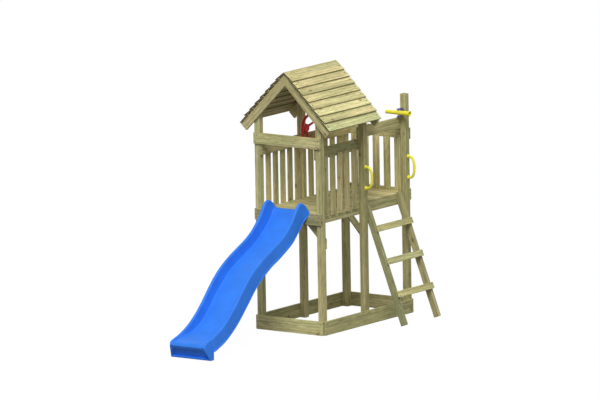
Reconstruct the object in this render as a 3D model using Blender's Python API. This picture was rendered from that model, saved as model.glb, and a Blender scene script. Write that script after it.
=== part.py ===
"""A wooden play tower with a roofed house, an open platform with a ladder, a wavy slide, two handgrips,
a steering wheel and a telescope. Metres, +Z up. The slide leaves towards -Y and the ladder towards +X."""
import math

import bmesh
import bpy
from mathutils import Matrix, Vector

for old in list(bpy.data.objects):
    bpy.data.objects.remove(old, do_unlink=True)

# Clearances and easings
SEAT = 0.0003            # gap left between two pieces that touch
RUN = 0.0001             # gap all round a pin that turns in its hole
PIN_SIDES = 32
SUNK = 0.0002            # how far a picket is let into its rail, where both are one piece
EASE = 0.0025            # chamfer on the edges of planed timber

# Tower
POST = 0.063             # square posts
TOWER_W = 0.793          # over the posts, along X
TOWER_L = 1.502          # over the posts, along Y
MIDDLE_Y = 0.717         # front face of the middle posts
DECK_Z = 1.200           # walking surface
LOOKOUT_RISE = 0.983     # top of the two back posts, above the deck

# Timber
BOARD = 0.019            # thickness of rails, joists, planks and base boards
BASE_H = 0.139
JOIST_H = 0.1115
SIDE_JOIST_H = 0.092
RAIL_H = 0.112
FRONT_RAIL_RISE = 0.751  # top of the front rail, above the deck
SIDE_RAIL_RISE = 0.6387
KICK_RISE = 0.033        # top of the back joist, above the deck
CENTRE_JOIST_W = 0.044
PLANK_PITCH = 0.125
PLANK_GAP = 0.005

# Pickets
PICKET_W = 0.0737
PICKET_T = 0.016
PICKETS = 5              # in each bay
BACK_END_GAP = 0.038     # from a back post to the first picket of the back wall
PICKET_DROP = 0.044      # how far the side walls' pickets hang below the deck
PICKET_HOLD = 0.030      # how far a picket laps its rail

# Roof, a 45 degree pitch
BARGE_W = 0.085
BARGE_T = 0.028
CROWN_RISE = 1.2415      # underside of the barge boards where they meet, above the deck
BARGE_REACH = 0.758      # along the slope, from ridge to foot
SLAT_T = 0.012
SLAT_W = 0.130
RIDGE_REACH = 0.1190     # along the slope, from ridge to the top board's lower edge
SLATS = 8
SLAT_EASE = 0.0015
EAVE_REACH = 0.748       # along the slope, from ridge to the lowest board's lower edge
ROOF_FRONT = -0.045
ROOF_BACK = 0.838
POST_TO_ROOF = 0.004     # clearance between a post's sloped top and the roof boards

# Braces under the platform
BRACE_W = 0.0704
BRACE_LEG = 0.179        # from the joist down to where a brace's lower edge meets its post
BRACE_END = {"left": 0.035, "right": 0.063}  # how far a middle brace laps its post

# Ladder
STRINGER_W = 0.063
STRINGER_T = 0.040
LADDER_LEAN = math.radians(20.7)
LADDER_TOP_RISE = 0.018  # top of the stringers above the deck
LADDER_DROP = 0.0766     # from the deck down to where a stringer's inner edge meets the joist
LADDER_NEAR_GAP = 0.017  # between the middle post and the near stringer
LADDER_FAR_GAP = 0.039   # between the far stringer and the back post
RUNG_H = 0.063
RUNG_T = 0.028
RUNGS = 3
RUNG_FIRST = 0.339       # top of the lowest rung
RUNG_STEP = 0.315

# Slide
SLIDE_HALF = 0.212       # half the width over the tops of the side walls
SLIDE_HEM_HALF = 0.230   # half the width over the skirt's lower edges
SLIDE_FOOT_HALF = 0.240  # half the width of the foot on the ground
SLIDE_SHELL = 0.006
SLIDE_RIM = 0.034        # width of the rounded top of a side wall
SLIDE_BATTER = 0.014     # how far the inner wall leans in from rim to bed
SLIDE_HEAD = 0.036       # how far the slide laps on to the deck
SLIDE_EAR = 0.030        # how far the skirt flares out beside the deck's edge
SLIDE_FOOT = -1.728      # nose of the foot, along Y
SLIDE_FOOT_DEPTH = 0.118 # from the nose to the back of the foot
SLIDE_NOSE = 0.120       # height of the nose
SLIDE_TUCK = 0.064       # how far the foot's front is drawn back from the nose to the ground
SLIDE_LIP = 0.018        # bed above the deck at the head
SLIDE_HORN = 0.100       # top of the side walls above the deck at the head

# Handgrips
GRIP_RISE = 0.2550       # middle of a handgrip, above the deck
GRIP_SPAN = 0.210        # between the two feet
GRIP_BOW = 0.076
GRIP_R = 0.0130
GRIP_FOOT_R = 0.021
GRIP_FOOT_T = 0.007

# Steering wheel
WHEEL_RISE = 0.0513      # axis of the wheel, above the side rail
WHEEL_R = 0.150
WHEEL_TUBE = 0.0135
WHEEL_DISH = 0.0747      # from the post's side to the plane of the rim
WHEEL_HUB_R = 0.040
WHEEL_HUB_L = 0.030
WHEEL_PLATE_R = 0.045
WHEEL_PLATE_T = 0.012
WHEEL_PIN_R = 0.008
WHEEL_CAP_T = 0.008      # wall left in front of the pin
SPOKE_R = 0.011
SPOKES = 3

# Telescope
SCOPE_RISE = 0.054       # tube's axis, above the front rail
SCOPE_STAND = 0.064      # from the post's face to the tube's axis
SCOPE_EYE = -0.152       # ends of the tube, from its pivot along X
SCOPE_FRONT = 0.132
SCOPE_EYE_R = 0.0185
SCOPE_FRONT_R = 0.0265
SCOPE_WALL = 0.003
SCOPE_ARM_T = 0.015
SCOPE_ARM_HALF = 0.012
SCOPE_ARM_Z = 0.0275     # inner face of each arm, from the tube's axis
SCOPE_BASE = 0.052
SCOPE_BASE_T = 0.006
SCOPE_WEB_T = 0.012
SCOPE_PIN_R = 0.006
SCOPE_BOSS_R = 0.009
SCOPE_TRUNNION_R = 0.004

# Places worked out from the sizes above
LOOKOUT_TOP = DECK_Z + LOOKOUT_RISE
FRONT_RAIL_TOP = DECK_Z + FRONT_RAIL_RISE
SIDE_RAIL_TOP = DECK_Z + SIDE_RAIL_RISE
BACK_JOIST_TOP = DECK_Z + KICK_RISE
PICKET_FOOT = DECK_Z - PICKET_DROP
GRIP_Z = DECK_Z + GRIP_RISE
WHEEL_Z = SIDE_RAIL_TOP + WHEEL_RISE
SCOPE_Z = FRONT_RAIL_TOP + SCOPE_RISE
OUT_X = TOWER_W / 2
IN_X = OUT_X - POST
ROOT2 = math.sqrt(2.0)
ROOF_CROWN = DECK_Z + CROWN_RISE + BARGE_W * ROOT2
SLAT_STEP = (EAVE_REACH - RIDGE_REACH) / (SLATS - 1)
MIDDLE_BACK = MIDDLE_Y + POST
BACK_Y = TOWER_L - POST
POST_XS = {"left": (-OUT_X, -IN_X), "right": (IN_X, OUT_X)}
RAIL_OUT = IN_X - SEAT                  # outer face of a side rail
PICKET_IN = RAIL_OUT - SUNK             # inner face of a side picket
JOIST_OUT = PICKET_IN - SEAT            # outer face of a side joist, and the ends of the planks
BACK_RAIL_Y = TOWER_L + SEAT
BACK_JOIST_Y = BACK_RAIL_Y + SUNK + SEAT
JOIST_FOOT = DECK_Z - JOIST_H
LADDER_NEAR = MIDDLE_BACK + LADDER_NEAR_GAP
LADDER_FAR = BACK_Y - LADDER_FAR_GAP
LADDER_SEAT = JOIST_OUT + SEAT
LADDER_FOOT = LADDER_SEAT + (DECK_Z - LADDER_DROP) * math.tan(LADDER_LEAN)
LADDER_OUT = LADDER_FOOT + STRINGER_W / math.cos(LADDER_LEAN)
TOE_Z = -EASE * math.sin(LADDER_LEAN)    # the corner that the easing takes off would be in the ground
TOE_X = LADDER_FOOT - TOE_Z * math.tan(LADDER_LEAN)
HEEL_X = TOE_X + STRINGER_W * math.cos(LADDER_LEAN)
HEEL_Z = TOE_Z + STRINGER_W * math.sin(LADDER_LEAN)
LADDER_END = HEEL_X - EASE * math.sin(LADDER_LEAN)
EAVE_X = (EAVE_REACH + SLAT_T + SEAT - SLAT_EASE) / ROOT2
BACK_END = BACK_JOIST_Y + BOARD
SCOPE_X = OUT_X - POST / 2
SCOPE_Y = BACK_Y - SCOPE_STAND

# The model's origin is on the ground, at the middle of its box
tower = bpy.data.objects.new("tower", None)
tower.location = (-(LADDER_END - EAVE_X) / 2, -(BACK_END + SLIDE_FOOT) / 2, 0.0)
bpy.context.collection.objects.link(tower)


def finish(name, color, roughness, metallic=0.0):
    """A Principled material."""
    material = bpy.data.materials.new(name)
    material.use_nodes = True
    shader = material.node_tree.nodes["Principled BSDF"]
    shader.inputs["Base Color"].default_value = (*color, 1.0)
    shader.inputs["Roughness"].default_value = roughness
    shader.inputs["Metallic"].default_value = metallic
    return material


TIMBER = finish("timber", (0.31, 0.27, 0.15), 0.75)
ROOF_TIMBER = finish("roof_timber", (0.66, 0.61, 0.33), 0.7)
SLIDE_BLUE = finish("slide_blue", (0.05, 0.22, 0.85), 0.3)
YELLOW = finish("yellow", (0.87, 0.82, 0.05), 0.35)
RED = finish("red", (0.42, 0.01, 0.02), 0.35)
PURPLE = finish("purple", (0.15, 0.12, 0.30), 0.4)


def make(name, bm, material, parent=tower, place=None):
    """Turns a bmesh into a named object under the tower."""
    bmesh.ops.recalc_face_normals(bm, faces=bm.faces)
    mesh = bpy.data.meshes.new(name)
    bm.to_mesh(mesh)
    bm.free()
    mesh.materials.append(material)
    piece = bpy.data.objects.new(name, mesh)
    bpy.context.collection.objects.link(piece)
    piece.parent = parent
    if place is not None:
        piece.location = place
    return piece


def chamfer(bm, edges, width):
    """Planes a narrow flat on the given edges."""
    bmesh.ops.bevel(bm, geom=edges, offset=width, segments=1, affect="EDGES", profile=0.5)


def box(bm, xs, ys, zs, ease=EASE):
    """Adds a board between two corners, with its edges eased."""
    size = Vector((xs[1] - xs[0], ys[1] - ys[0], zs[1] - zs[0]))
    middle = Vector((xs[0] + xs[1], ys[0] + ys[1], zs[0] + zs[1])) / 2
    place = Matrix.Translation(middle) @ Matrix.Diagonal((*size, 1.0))
    made = bmesh.ops.create_cube(bm, size=1.0, matrix=place)
    if ease:
        edges = {edge for vert in made["verts"] for edge in vert.link_edges}
        chamfer(bm, list(edges), ease)


def board(name, xs, ys, zs, material=TIMBER):
    """One square-cut board."""
    bm = bmesh.new()
    box(bm, xs, ys, zs)
    return make(name, bm, material)


def prism(bm, outline, across, ease=EASE):
    """Extrudes an outline of (a, z) points; across gives the point for (a, z) at each end."""
    near = [bm.verts.new(across(a, z, 0)) for a, z in outline]
    far = [bm.verts.new(across(a, z, 1)) for a, z in outline]
    count = len(outline)
    faces = [bm.faces.new(near), bm.faces.new(far[::-1])]
    for k in range(count):
        after = (k + 1) % count
        faces.append(bm.faces.new((near[k], far[k], far[after], near[after])))
    bmesh.ops.recalc_face_normals(bm, faces=faces)
    if ease:
        chamfer(bm, list({edge for face in faces for edge in face.edges}), ease)


def plate_xz(name, outline, ys, material=TIMBER, ease=EASE):
    """A board whose outline is drawn in X and Z."""
    bm = bmesh.new()
    prism(bm, outline, lambda x, z, end: (x, ys[end], z), ease)
    return make(name, bm, material)


def plate_yz(name, outline, xs, material=TIMBER, ease=EASE):
    """A board whose outline is drawn in Y and Z."""
    bm = bmesh.new()
    prism(bm, outline, lambda y, z, end: (xs[end], y, z), ease)
    return make(name, bm, material)


def boolean(target, other, operation):
    """Joins or cuts with another object, and hides that object."""
    change = target.modifiers.new(operation.lower(), "BOOLEAN")
    change.operation = operation
    change.object = other
    other.hide_render = True
    other.display_type = "WIRE"


def smooth(piece, angle=35):
    """Shades a round piece smooth up to the given angle."""
    piece.data.shade_smooth()
    piece.data.set_sharp_from_angle(angle=math.radians(angle))


def mirrored(xs, side):
    """Mirrors a pair of X values on to the left side."""
    return xs if side == "right" else (-xs[1], -xs[0])


# Posts: the front four end under the slope of the roof, the back two stand free
for side, (low_x, high_x) in POST_XS.items():
    for row, front_y in (("front", 0.0), ("middle", MIDDLE_Y)):
        slope = [(x, ROOF_CROWN - abs(x) - POST_TO_ROOF) for x in (high_x, low_x)]
        outline = [(low_x, 0.0), (high_x, 0.0), *slope]
        plate_xz(f"post_{row}_{side}", outline, (front_y, front_y + POST))
    board(f"post_back_{side}", (low_x, high_x), (BACK_Y, TOWER_L), (0.0, LOOKOUT_TOP))

# Base boards, screwed round the outside of the posts
board("base_front", (-OUT_X, OUT_X), (-SEAT - BOARD, -SEAT), (0.0, BASE_H))
board("base_back", (-OUT_X, OUT_X), (TOWER_L + SEAT, TOWER_L + SEAT + BOARD), (0.0, BASE_H))
for side in POST_XS:
    board(f"base_{side}", mirrored((OUT_X + SEAT, OUT_X + SEAT + BOARD), side), (0.0, TOWER_L), (0.0, BASE_H))

# Platform frame: the front joist is flush with the deck, the side joists carry the planks,
# and the back joist stands up as a kick board
SIDE_JOIST_TOP = JOIST_FOOT + SIDE_JOIST_H
board("joist_front", (-OUT_X, OUT_X), (-SEAT - BOARD, -SEAT), (JOIST_FOOT, DECK_Z))
board("joist_back", (-OUT_X, OUT_X), (BACK_JOIST_Y, BACK_END), (BACK_JOIST_TOP - JOIST_H, BACK_JOIST_TOP))
SIDE_JOIST_XS = (JOIST_OUT - BOARD, JOIST_OUT)
for side in POST_XS:
    board(f"joist_{side}", mirrored(SIDE_JOIST_XS, side), (0.0, TOWER_L), (JOIST_FOOT, SIDE_JOIST_TOP))
CROSS_JOIST_END = SIDE_JOIST_XS[0] - SEAT
CROSS_JOIST_YS = (POST + SEAT, POST + SEAT + BOARD)
board("joist_cross", (-CROSS_JOIST_END, CROSS_JOIST_END), CROSS_JOIST_YS, (JOIST_FOOT, SIDE_JOIST_TOP))

# Deck: planks across the tower, joined by a joist under their middle
PLANK_FOOT = SIDE_JOIST_TOP + SEAT
deck_mesh = bmesh.new()
plank_count = round((TOWER_L + PLANK_GAP) / PLANK_PITCH)
plank_step = (TOWER_L + PLANK_GAP) / plank_count
for number in range(plank_count):
    start = number * plank_step
    ys = (start, start + plank_step - PLANK_GAP)
    box(deck_mesh, (-JOIST_OUT, JOIST_OUT), ys, (PLANK_FOOT, DECK_Z))
deck = make("deck", deck_mesh, TIMBER)
spine_mesh = bmesh.new()
spine_xs = (-CENTRE_JOIST_W / 2, CENTRE_JOIST_W / 2)
box(spine_mesh, spine_xs, (CROSS_JOIST_YS[1] + SEAT, TOWER_L), (JOIST_FOOT, PLANK_FOOT + SUNK))
boolean(deck, make("deck_spine", spine_mesh, TIMBER), "UNION")
# The first plank lies ahead of the spine, so a short noggin ties it in
noggin_mesh = bmesh.new()
box(noggin_mesh, spine_xs, (SEAT, CROSS_JOIST_YS[0] - SEAT), (JOIST_FOOT, PLANK_FOOT + SUNK))
boolean(deck, make("deck_noggin", noggin_mesh, TIMBER), "UNION")

# Rails
board("rail_front", (-OUT_X, OUT_X), (-SEAT - BOARD, -SEAT), (FRONT_RAIL_TOP - RAIL_H, FRONT_RAIL_TOP))
entry_foot = SIDE_RAIL_TOP + SEAT
board("entry_bar", (RAIL_OUT - BOARD, RAIL_OUT), (MIDDLE_Y, TOWER_L), (entry_foot, entry_foot + RAIL_H))


def picket_edges(start, end, end_gap=None):
    """The two edges of each picket, evenly spaced between two posts unless the end gaps are given."""
    spare = end - start - PICKETS * PICKET_W
    if end_gap is None:
        end_gap = spare / (PICKETS + 1)
    pitch = PICKET_W + (spare - 2 * end_gap) / (PICKETS - 1)
    for number in range(PICKETS):
        edge = start + end_gap + number * pitch
        yield edge, edge + PICKET_W


def wall(name, rail_xs, rail_ys, pickets):
    """A rail with its pickets as one piece."""
    rail_mesh = bmesh.new()
    box(rail_mesh, rail_xs, rail_ys, (SIDE_RAIL_TOP - RAIL_H, SIDE_RAIL_TOP))
    panel = make(name, rail_mesh, TIMBER)
    picket_mesh = bmesh.new()
    for xs, ys, foot in pickets:
        box(picket_mesh, xs, ys, (foot, SIDE_RAIL_TOP - RAIL_H + PICKET_HOLD))
    boolean(panel, make(f"{name}_pickets", picket_mesh, TIMBER), "UNION")


BAYS = ((POST, MIDDLE_Y), (MIDDLE_BACK, BACK_Y))
for side, bays, rail_end in (("left", BAYS, TOWER_L), ("right", BAYS[:1], MIDDLE_BACK)):
    picket_xs = mirrored((PICKET_IN, PICKET_IN + PICKET_T), side)
    places = [(picket_xs, ys, PICKET_FOOT) for bay in bays for ys in picket_edges(*bay)]
    wall(f"wall_{side}", mirrored((RAIL_OUT - BOARD, RAIL_OUT), side), (0.0, rail_end), places)
back_picket_ys = (BACK_RAIL_Y + SUNK - PICKET_T, BACK_RAIL_Y + SUNK)
back_places = [(xs, back_picket_ys, DECK_Z + SEAT) for xs in picket_edges(-IN_X, IN_X, BACK_END_GAP)]
wall("wall_back", (-OUT_X, OUT_X), (BACK_RAIL_Y, BACK_RAIL_Y + BOARD), back_places)

# Roof: a pair of barge boards in front of the front posts, a pair behind the middle posts,
# and lapped boards on both slopes. On a slope, s runs down from the ridge and n stands off it.


def on_slope(side, s, n):
    """X and Z of a point on a roof slope."""
    x = (s + n) / ROOT2
    return (x if side == "right" else -x), ROOF_CROWN - (s - n) / ROOT2


for place, ys in (("front", (-SEAT - BARGE_T, -SEAT)), ("back", (MIDDLE_BACK + SEAT, MIDDLE_BACK + SEAT + BARGE_T))):
    for side in POST_XS:
        corners = ((SEAT * ROOT2, 0.0), (BARGE_REACH, 0.0), (BARGE_REACH, -BARGE_W), (BARGE_W + SEAT * ROOT2, -BARGE_W))
        plate_xz(f"barge_{place}_{side}", [on_slope(side, s, n) for s, n in corners], ys)

SLAT_TILT = math.asin((SLAT_T + SEAT) / SLAT_STEP)


def slat_outline(number):
    """Section of a roof board: the lowest lies flat, the others lap the one below."""
    low = EAVE_REACH - (SLATS - 1 - number) * SLAT_STEP
    up = low - SLAT_W
    tilt = 0.0 if number == SLATS - 1 else SLAT_TILT
    along = Vector((math.cos(tilt), math.sin(tilt)))
    out = Vector((-math.sin(tilt), math.cos(tilt)))
    heel = Vector((up, SEAT))
    toe = heel + along * (SLAT_W / math.cos(tilt))
    return [heel, toe, toe + out * SLAT_T, heel + out * SLAT_T]


def slat_at_ridge():
    """The top board runs on to the ridge, where it is cut plumb against its pair."""
    heel, toe, toe_top, heel_top = slat_outline(0)
    along = (toe - heel).normalized()
    low = heel - along * ((heel.x + heel.y - SEAT * ROOT2) / (along.x + along.y))
    top = heel_top - along * ((heel_top.x + heel_top.y - SEAT * ROOT2) / (along.x + along.y))
    low.y = max(low.y, SEAT)
    return [low, toe, toe_top, top]


for side in POST_XS:
    for number in range(SLATS):
        section = slat_at_ridge() if number == 0 else slat_outline(number)
        outline = [on_slope(side, point.x, point.y) for point in section]
        plate_xz(f"roof_board_{side}_{number + 1}", outline, (ROOF_FRONT, ROOF_BACK), ROOF_TIMBER, SLAT_EASE)

# Braces: 45 degree boards under the joists, on the middle posts' inner sides and behind the front posts
BRACE_RISE = BRACE_W * ROOT2
BRACE_TOP = JOIST_FOOT - SEAT
for side in POST_XS:
    low = MIDDLE_Y + JOIST_FOOT - BRACE_LEG
    high = low + BRACE_RISE
    end = MIDDLE_Y + BRACE_END[side]
    outline = [(end, low - end), (end, high - end), (high - BRACE_TOP, BRACE_TOP), (low - BRACE_TOP, BRACE_TOP)]
    plate_yz(f"brace_middle_{side}", outline, mirrored(SIDE_JOIST_XS, side))
    low = IN_X + JOIST_FOOT - BRACE_LEG
    high = low + BRACE_RISE
    turn = 1 if side == "right" else -1
    points = [(OUT_X, low - OUT_X), (OUT_X, high - OUT_X), (high - BRACE_TOP, BRACE_TOP), (low - BRACE_TOP, BRACE_TOP)]
    plate_xz(f"brace_front_{side}", [(turn * x, z) for x, z in points], CROSS_JOIST_YS)

# Ladder: two stringers with square feet, cut to the joist at the top, with rungs on their outer edges
LEAN = math.tan(LADDER_LEAN)
stringer_top = DECK_Z + LADDER_TOP_RISE
stringer = [
    (TOE_X, TOE_Z),
    (HEEL_X, HEEL_Z),
    (LADDER_OUT - LEAN * stringer_top, stringer_top),
    (LADDER_SEAT, stringer_top),
    (LADDER_SEAT, (LADDER_FOOT - LADDER_SEAT) / LEAN),
]
for name, ys in (("near", (LADDER_NEAR, LADDER_NEAR + STRINGER_T)), ("far", (LADDER_FAR - STRINGER_T, LADDER_FAR))):
    plate_xz(f"stringer_{name}", stringer, ys)
down = Vector((math.sin(LADDER_LEAN), -math.cos(LADDER_LEAN)))
out = Vector((math.cos(LADDER_LEAN), math.sin(LADDER_LEAN)))
for number in range(1, RUNGS + 1):
    top_z = RUNG_FIRST + (number - 1) * RUNG_STEP
    heel = Vector((LADDER_OUT - LEAN * top_z, top_z)) + out * SEAT
    corners = (heel, heel + out * RUNG_T, heel + out * RUNG_T + down * RUNG_H, heel + down * RUNG_H)
    plate_xz(f"rung_{number}", [tuple(corner) for corner in corners], (LADDER_NEAR, LADDER_FAR))

# Slide: a moulded trough with rounded side walls and a foot that stands on the ground.
# Its side view is three smooth curves, the bed, the top of the side walls and the skirt's lower edge.
# On the deck their points are (share of the lap, height over the deck), and beyond the joist they are
# (share of the run to the foot, share of the deck's height).
HEAD_Y = SLIDE_HEAD
JOIST_FACE = -SEAT - BOARD
RUN_Y = JOIST_FACE - SLIDE_FOOT
BED_ON_DECK = ((1.00, SLIDE_LIP), (0.15, SLIDE_LIP))
BED_RUN = (
    (0.002, 1.007), (0.022, 0.960), (0.050, 0.918), (0.0765, 0.883), (0.135, 0.818), (0.194, 0.7665), (0.281, 0.704),
    (0.398, 0.627), (0.457, 0.5785), (0.515, 0.5095), (0.574, 0.4355), (0.633, 0.352), (0.691, 0.2735),
    (0.7495, 0.2165), (0.808, 0.184), (0.867, 0.164), (0.925, 0.149), (0.972, 0.138), (0.990, 0.128), (1.0, 0.107),
)
RIM_ON_DECK = ((1.00, SLIDE_LIP + 0.012), (0.55, SLIDE_HORN * 0.52), (0.10, SLIDE_HORN * 0.70))
RIM_RUN = (
    (0.006, 1.076), (0.030, 1.0890), (0.053, 1.081), (0.0765, 1.048), (0.111, 0.981), (0.135, 0.942), (0.182, 0.880),
    (0.252, 0.817), (0.340, 0.759), (0.3985, 0.7205), (0.457, 0.6765), (0.515, 0.6245), (0.574, 0.5565),
    (0.633, 0.4725), (0.691, 0.3875), (0.7495, 0.312), (0.808, 0.251), (0.867, 0.2045), (0.925, 0.1705),
    (0.967, 0.153), (0.990, 0.136), (1.0, 0.111),
)
SKIRT_RUN = (
    (0.0065, 0.965), (0.0472, 0.904), (0.106, 0.820), (0.135, 0.784), (0.194, 0.734), (0.281, 0.6725), (0.340, 0.636),
    (0.3985, 0.5895), (0.457, 0.5375), (0.515, 0.4705), (0.574, 0.387), (0.633, 0.3055), (0.691, 0.2315),
    (0.7495, 0.171), (0.808, 0.120), (0.867, 0.085), (0.910, 0.0675), (1.0, 0.061),
)


def slide_line(on_deck, run):
    """Points (y, z) of one of the curves, from the head to the foot."""
    points = [(share * HEAD_Y, DECK_Z + rise) for share, rise in on_deck]
    return points + [(JOIST_FACE - share * RUN_Y, height * DECK_Z) for share, height in run]


BED_LINE = slide_line(BED_ON_DECK, BED_RUN)
RIM_LINE = slide_line(RIM_ON_DECK, RIM_RUN)
SKIRT_LINE = slide_line((), SKIRT_RUN)


def curve_through(points, y):
    """Height at y on a smooth curve through the points, which run towards -Y."""
    for k in range(len(points) - 1):
        if y >= points[k + 1][0] or k == len(points) - 2:
            break
    (y0, z0), (y1, z1) = points[k], points[k + 1]
    before = points[k - 1] if k else points[k]
    after = points[k + 2] if k + 2 < len(points) else points[k + 1]
    span = y1 - y0
    t = min(max((y - y0) / span, 0.0), 1.0)
    slope0 = (z1 - before[1]) / (y1 - before[0]) * span
    slope1 = (after[1] - z0) / (after[0] - y0) * span
    square, cube = t * t, t * t * t
    return ((2 * cube - 3 * square + 1) * z0 + (cube - 2 * square + t) * slope0
            + (3 * square - 2 * cube) * z1 + (cube - square) * slope1)


FOOT_START = SLIDE_FOOT + SLIDE_FOOT_DEPTH
FOOT_FLARE = 0.11        # length over which the slide widens to its foot
EAR_LENGTH = 0.060       # length over which the skirt flares out ahead of the joist
EAR_AHEAD = 0.4          # share of the flare that is left ahead of the joist
STEP = 0.0004            # a sudden change of section takes this much length
BED_CORNERS = 5          # points along half of the bed
RIM_ARC = 4              # points round the top of a side wall
LIP_PULL = 0.04          # share by which the front corners of the foot are drawn in at the top


def eased(t):
    """A smooth step from 0 to 1."""
    t = min(max(t, 0.0), 1.0)
    return t * t * (3 - 2 * t)


def hem_half(y):
    """Half the width over the skirt's lower edges."""
    return SLIDE_HEM_HALF + (SLIDE_FOOT_HALF - SLIDE_HEM_HALF) * eased((FOOT_START + FOOT_FLARE - y) / FOOT_FLARE)


def ear(y):
    """How far the skirt stands out beside the side wall."""
    if y > JOIST_FACE:
        return SLIDE_EAR * eased((HEAD_Y - y) / (HEAD_Y - JOIST_FACE))
    return SLIDE_EAR * EAR_AHEAD * eased((y - JOIST_FACE + EAR_LENGTH) / EAR_LENGTH)


def slide_section(y, skirt_z, floor):
    """Half of a section, from the skirt's lower edge to the middle of the bed: upper and lower points."""
    bed = curve_through(BED_LINE, y)
    rim = max(curve_through(RIM_LINE, y), bed + 0.002)
    ahead = curve_through(BED_LINE, y - 0.004) - curve_through(BED_LINE, y + 0.004)
    thick = SLIDE_SHELL * min(math.hypot(1.0, ahead / 0.008), 2.2)
    if y >= JOIST_FACE:
        thick = min(thick, bed - DECK_Z - SEAT - 0.001)
    hem = hem_half(y) + ear(y)
    round_z = min(SLIDE_RIM / 2, (rim - skirt_z) / 2, rim - bed)
    upper = [(hem, skirt_z)]
    lower = [(hem - SLIDE_SHELL, skirt_z)]
    crown_x = SLIDE_HALF - SLIDE_RIM / 2
    crown_z = rim - round_z
    for k in range(RIM_ARC + 1):
        across = math.cos(math.pi * k / RIM_ARC)
        rise = math.sin(math.pi * k / RIM_ARC)
        upper.append((crown_x + across * SLIDE_RIM / 2, crown_z + rise * round_z))
        under_x = crown_x + across * (SLIDE_RIM / 2 - SLIDE_SHELL)
        under_z = crown_z + rise * (round_z - thick) - (thick if k == RIM_ARC else 0.0)
        lower.append((under_x + (SLIDE_SHELL * 2 if k == RIM_ARC else 0.0), max(under_z, skirt_z)))
    wall_x = SLIDE_HALF - SLIDE_RIM - SLIDE_BATTER
    corner = min(0.02, rim - bed)
    upper.append((wall_x + 0.004, bed + corner * 0.35))
    lower.append((wall_x + 0.004 + SLIDE_SHELL, bed + corner * 0.35 - thick))
    for k in range(BED_CORNERS):
        x = (wall_x - corner * 0.4) * (1 - k / (BED_CORNERS - 1))
        upper.append((x, bed))
        lower.append((x, bed - thick))
    pull = LIP_PULL * eased((SLIDE_FOOT + 0.02 - y) / 0.02)
    upper = [(x * (1 - pull * min(z / 0.12, 1.0)), z) for x, z in upper]
    if floor is not None:
        count = len(lower)
        lower = [(lower[0][0] * (1 - k / (count - 1)), floor) for k in range(count)]
    return upper, lower


def slide_ring(bm, y, skirt_z, floor=None):
    """One closed ring of the slide's shell, or of a cross wall that stands on the floor given."""
    upper, lower = slide_section(y, skirt_z, floor)
    top = [(x, z) for x, z in upper] + [(-x, z) for x, z in reversed(upper[:-1])]
    under = [(x, z) for x, z in lower] + [(-x, z) for x, z in reversed(lower[:-1])]
    tuck = SLIDE_TUCK * min(max((FOOT_START - y) / SLIDE_FOOT_DEPTH, 0.0), 1.0)
    return [bm.verts.new((x, y + tuck * max(1.0 - z / SLIDE_NOSE, 0.0), z)) for x, z in top + under[::-1]]


slide_mesh = bmesh.new()
on_deck = DECK_Z + SEAT
rear_wall = HEAD_Y - SLIDE_SHELL
rings = [slide_ring(slide_mesh, y, on_deck, on_deck) for y in (HEAD_Y, rear_wall)]
for share in (0.0, 0.2, 0.4, 0.6, 0.8, 1.0):
    y = rear_wall - STEP + (JOIST_FACE - rear_wall + STEP) * share
    rings.append(slide_ring(slide_mesh, y, on_deck))
stations = 42
run_start = JOIST_FACE - SEAT - STEP
run_end = FOOT_START + STEP
for number in range(stations + 1):
    y = run_start + (run_end - run_start) * number / stations
    rings.append(slide_ring(slide_mesh, y, min(curve_through(SKIRT_LINE, y), curve_through(BED_LINE, y) - 0.012)))
front_wall = SLIDE_FOOT + SLIDE_SHELL
for y in (FOOT_START, (FOOT_START + front_wall) / 2, front_wall + STEP):
    rings.append(slide_ring(slide_mesh, y, 0.0))
for y in (front_wall, SLIDE_FOOT):
    rings.append(slide_ring(slide_mesh, y, 0.0, 0.0))
around = len(rings[0])
for ring, following in zip(rings, rings[1:]):
    for k in range(around):
        after = (k + 1) % around
        slide_mesh.faces.new((ring[k], following[k], following[after], ring[after]))
half = around // 2
for ring in (rings[0], rings[-1]):
    for k in range(half - 1):
        slide_mesh.faces.new((ring[k], ring[k + 1], ring[around - 2 - k], ring[around - 1 - k]))
slide = make("slide", slide_mesh, SLIDE_BLUE)
smooth(slide, 40)


def sweep(bm, centres, radii, sides, across):
    """A tube round the centres, each ring square to the path and started from the across direction."""
    tube = []
    for k, (centre, radius) in enumerate(zip(centres, radii)):
        ahead = centres[min(k + 1, len(centres) - 1)] - centres[max(k - 1, 0)]
        one = across
        two = ahead.normalized().cross(one)
        ring = []
        for s in range(sides):
            angle = 2 * math.pi * s / sides
            ring.append(bm.verts.new(centre + (one * math.cos(angle) + two * math.sin(angle)) * radius))
        tube.append(ring)
    for ring, following in zip(tube, tube[1:]):
        for s in range(sides):
            after = (s + 1) % sides
            bm.faces.new((ring[s], ring[after], following[after], following[s]))
    bm.faces.new(tube[0][::-1])
    bm.faces.new(tube[-1])


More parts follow.
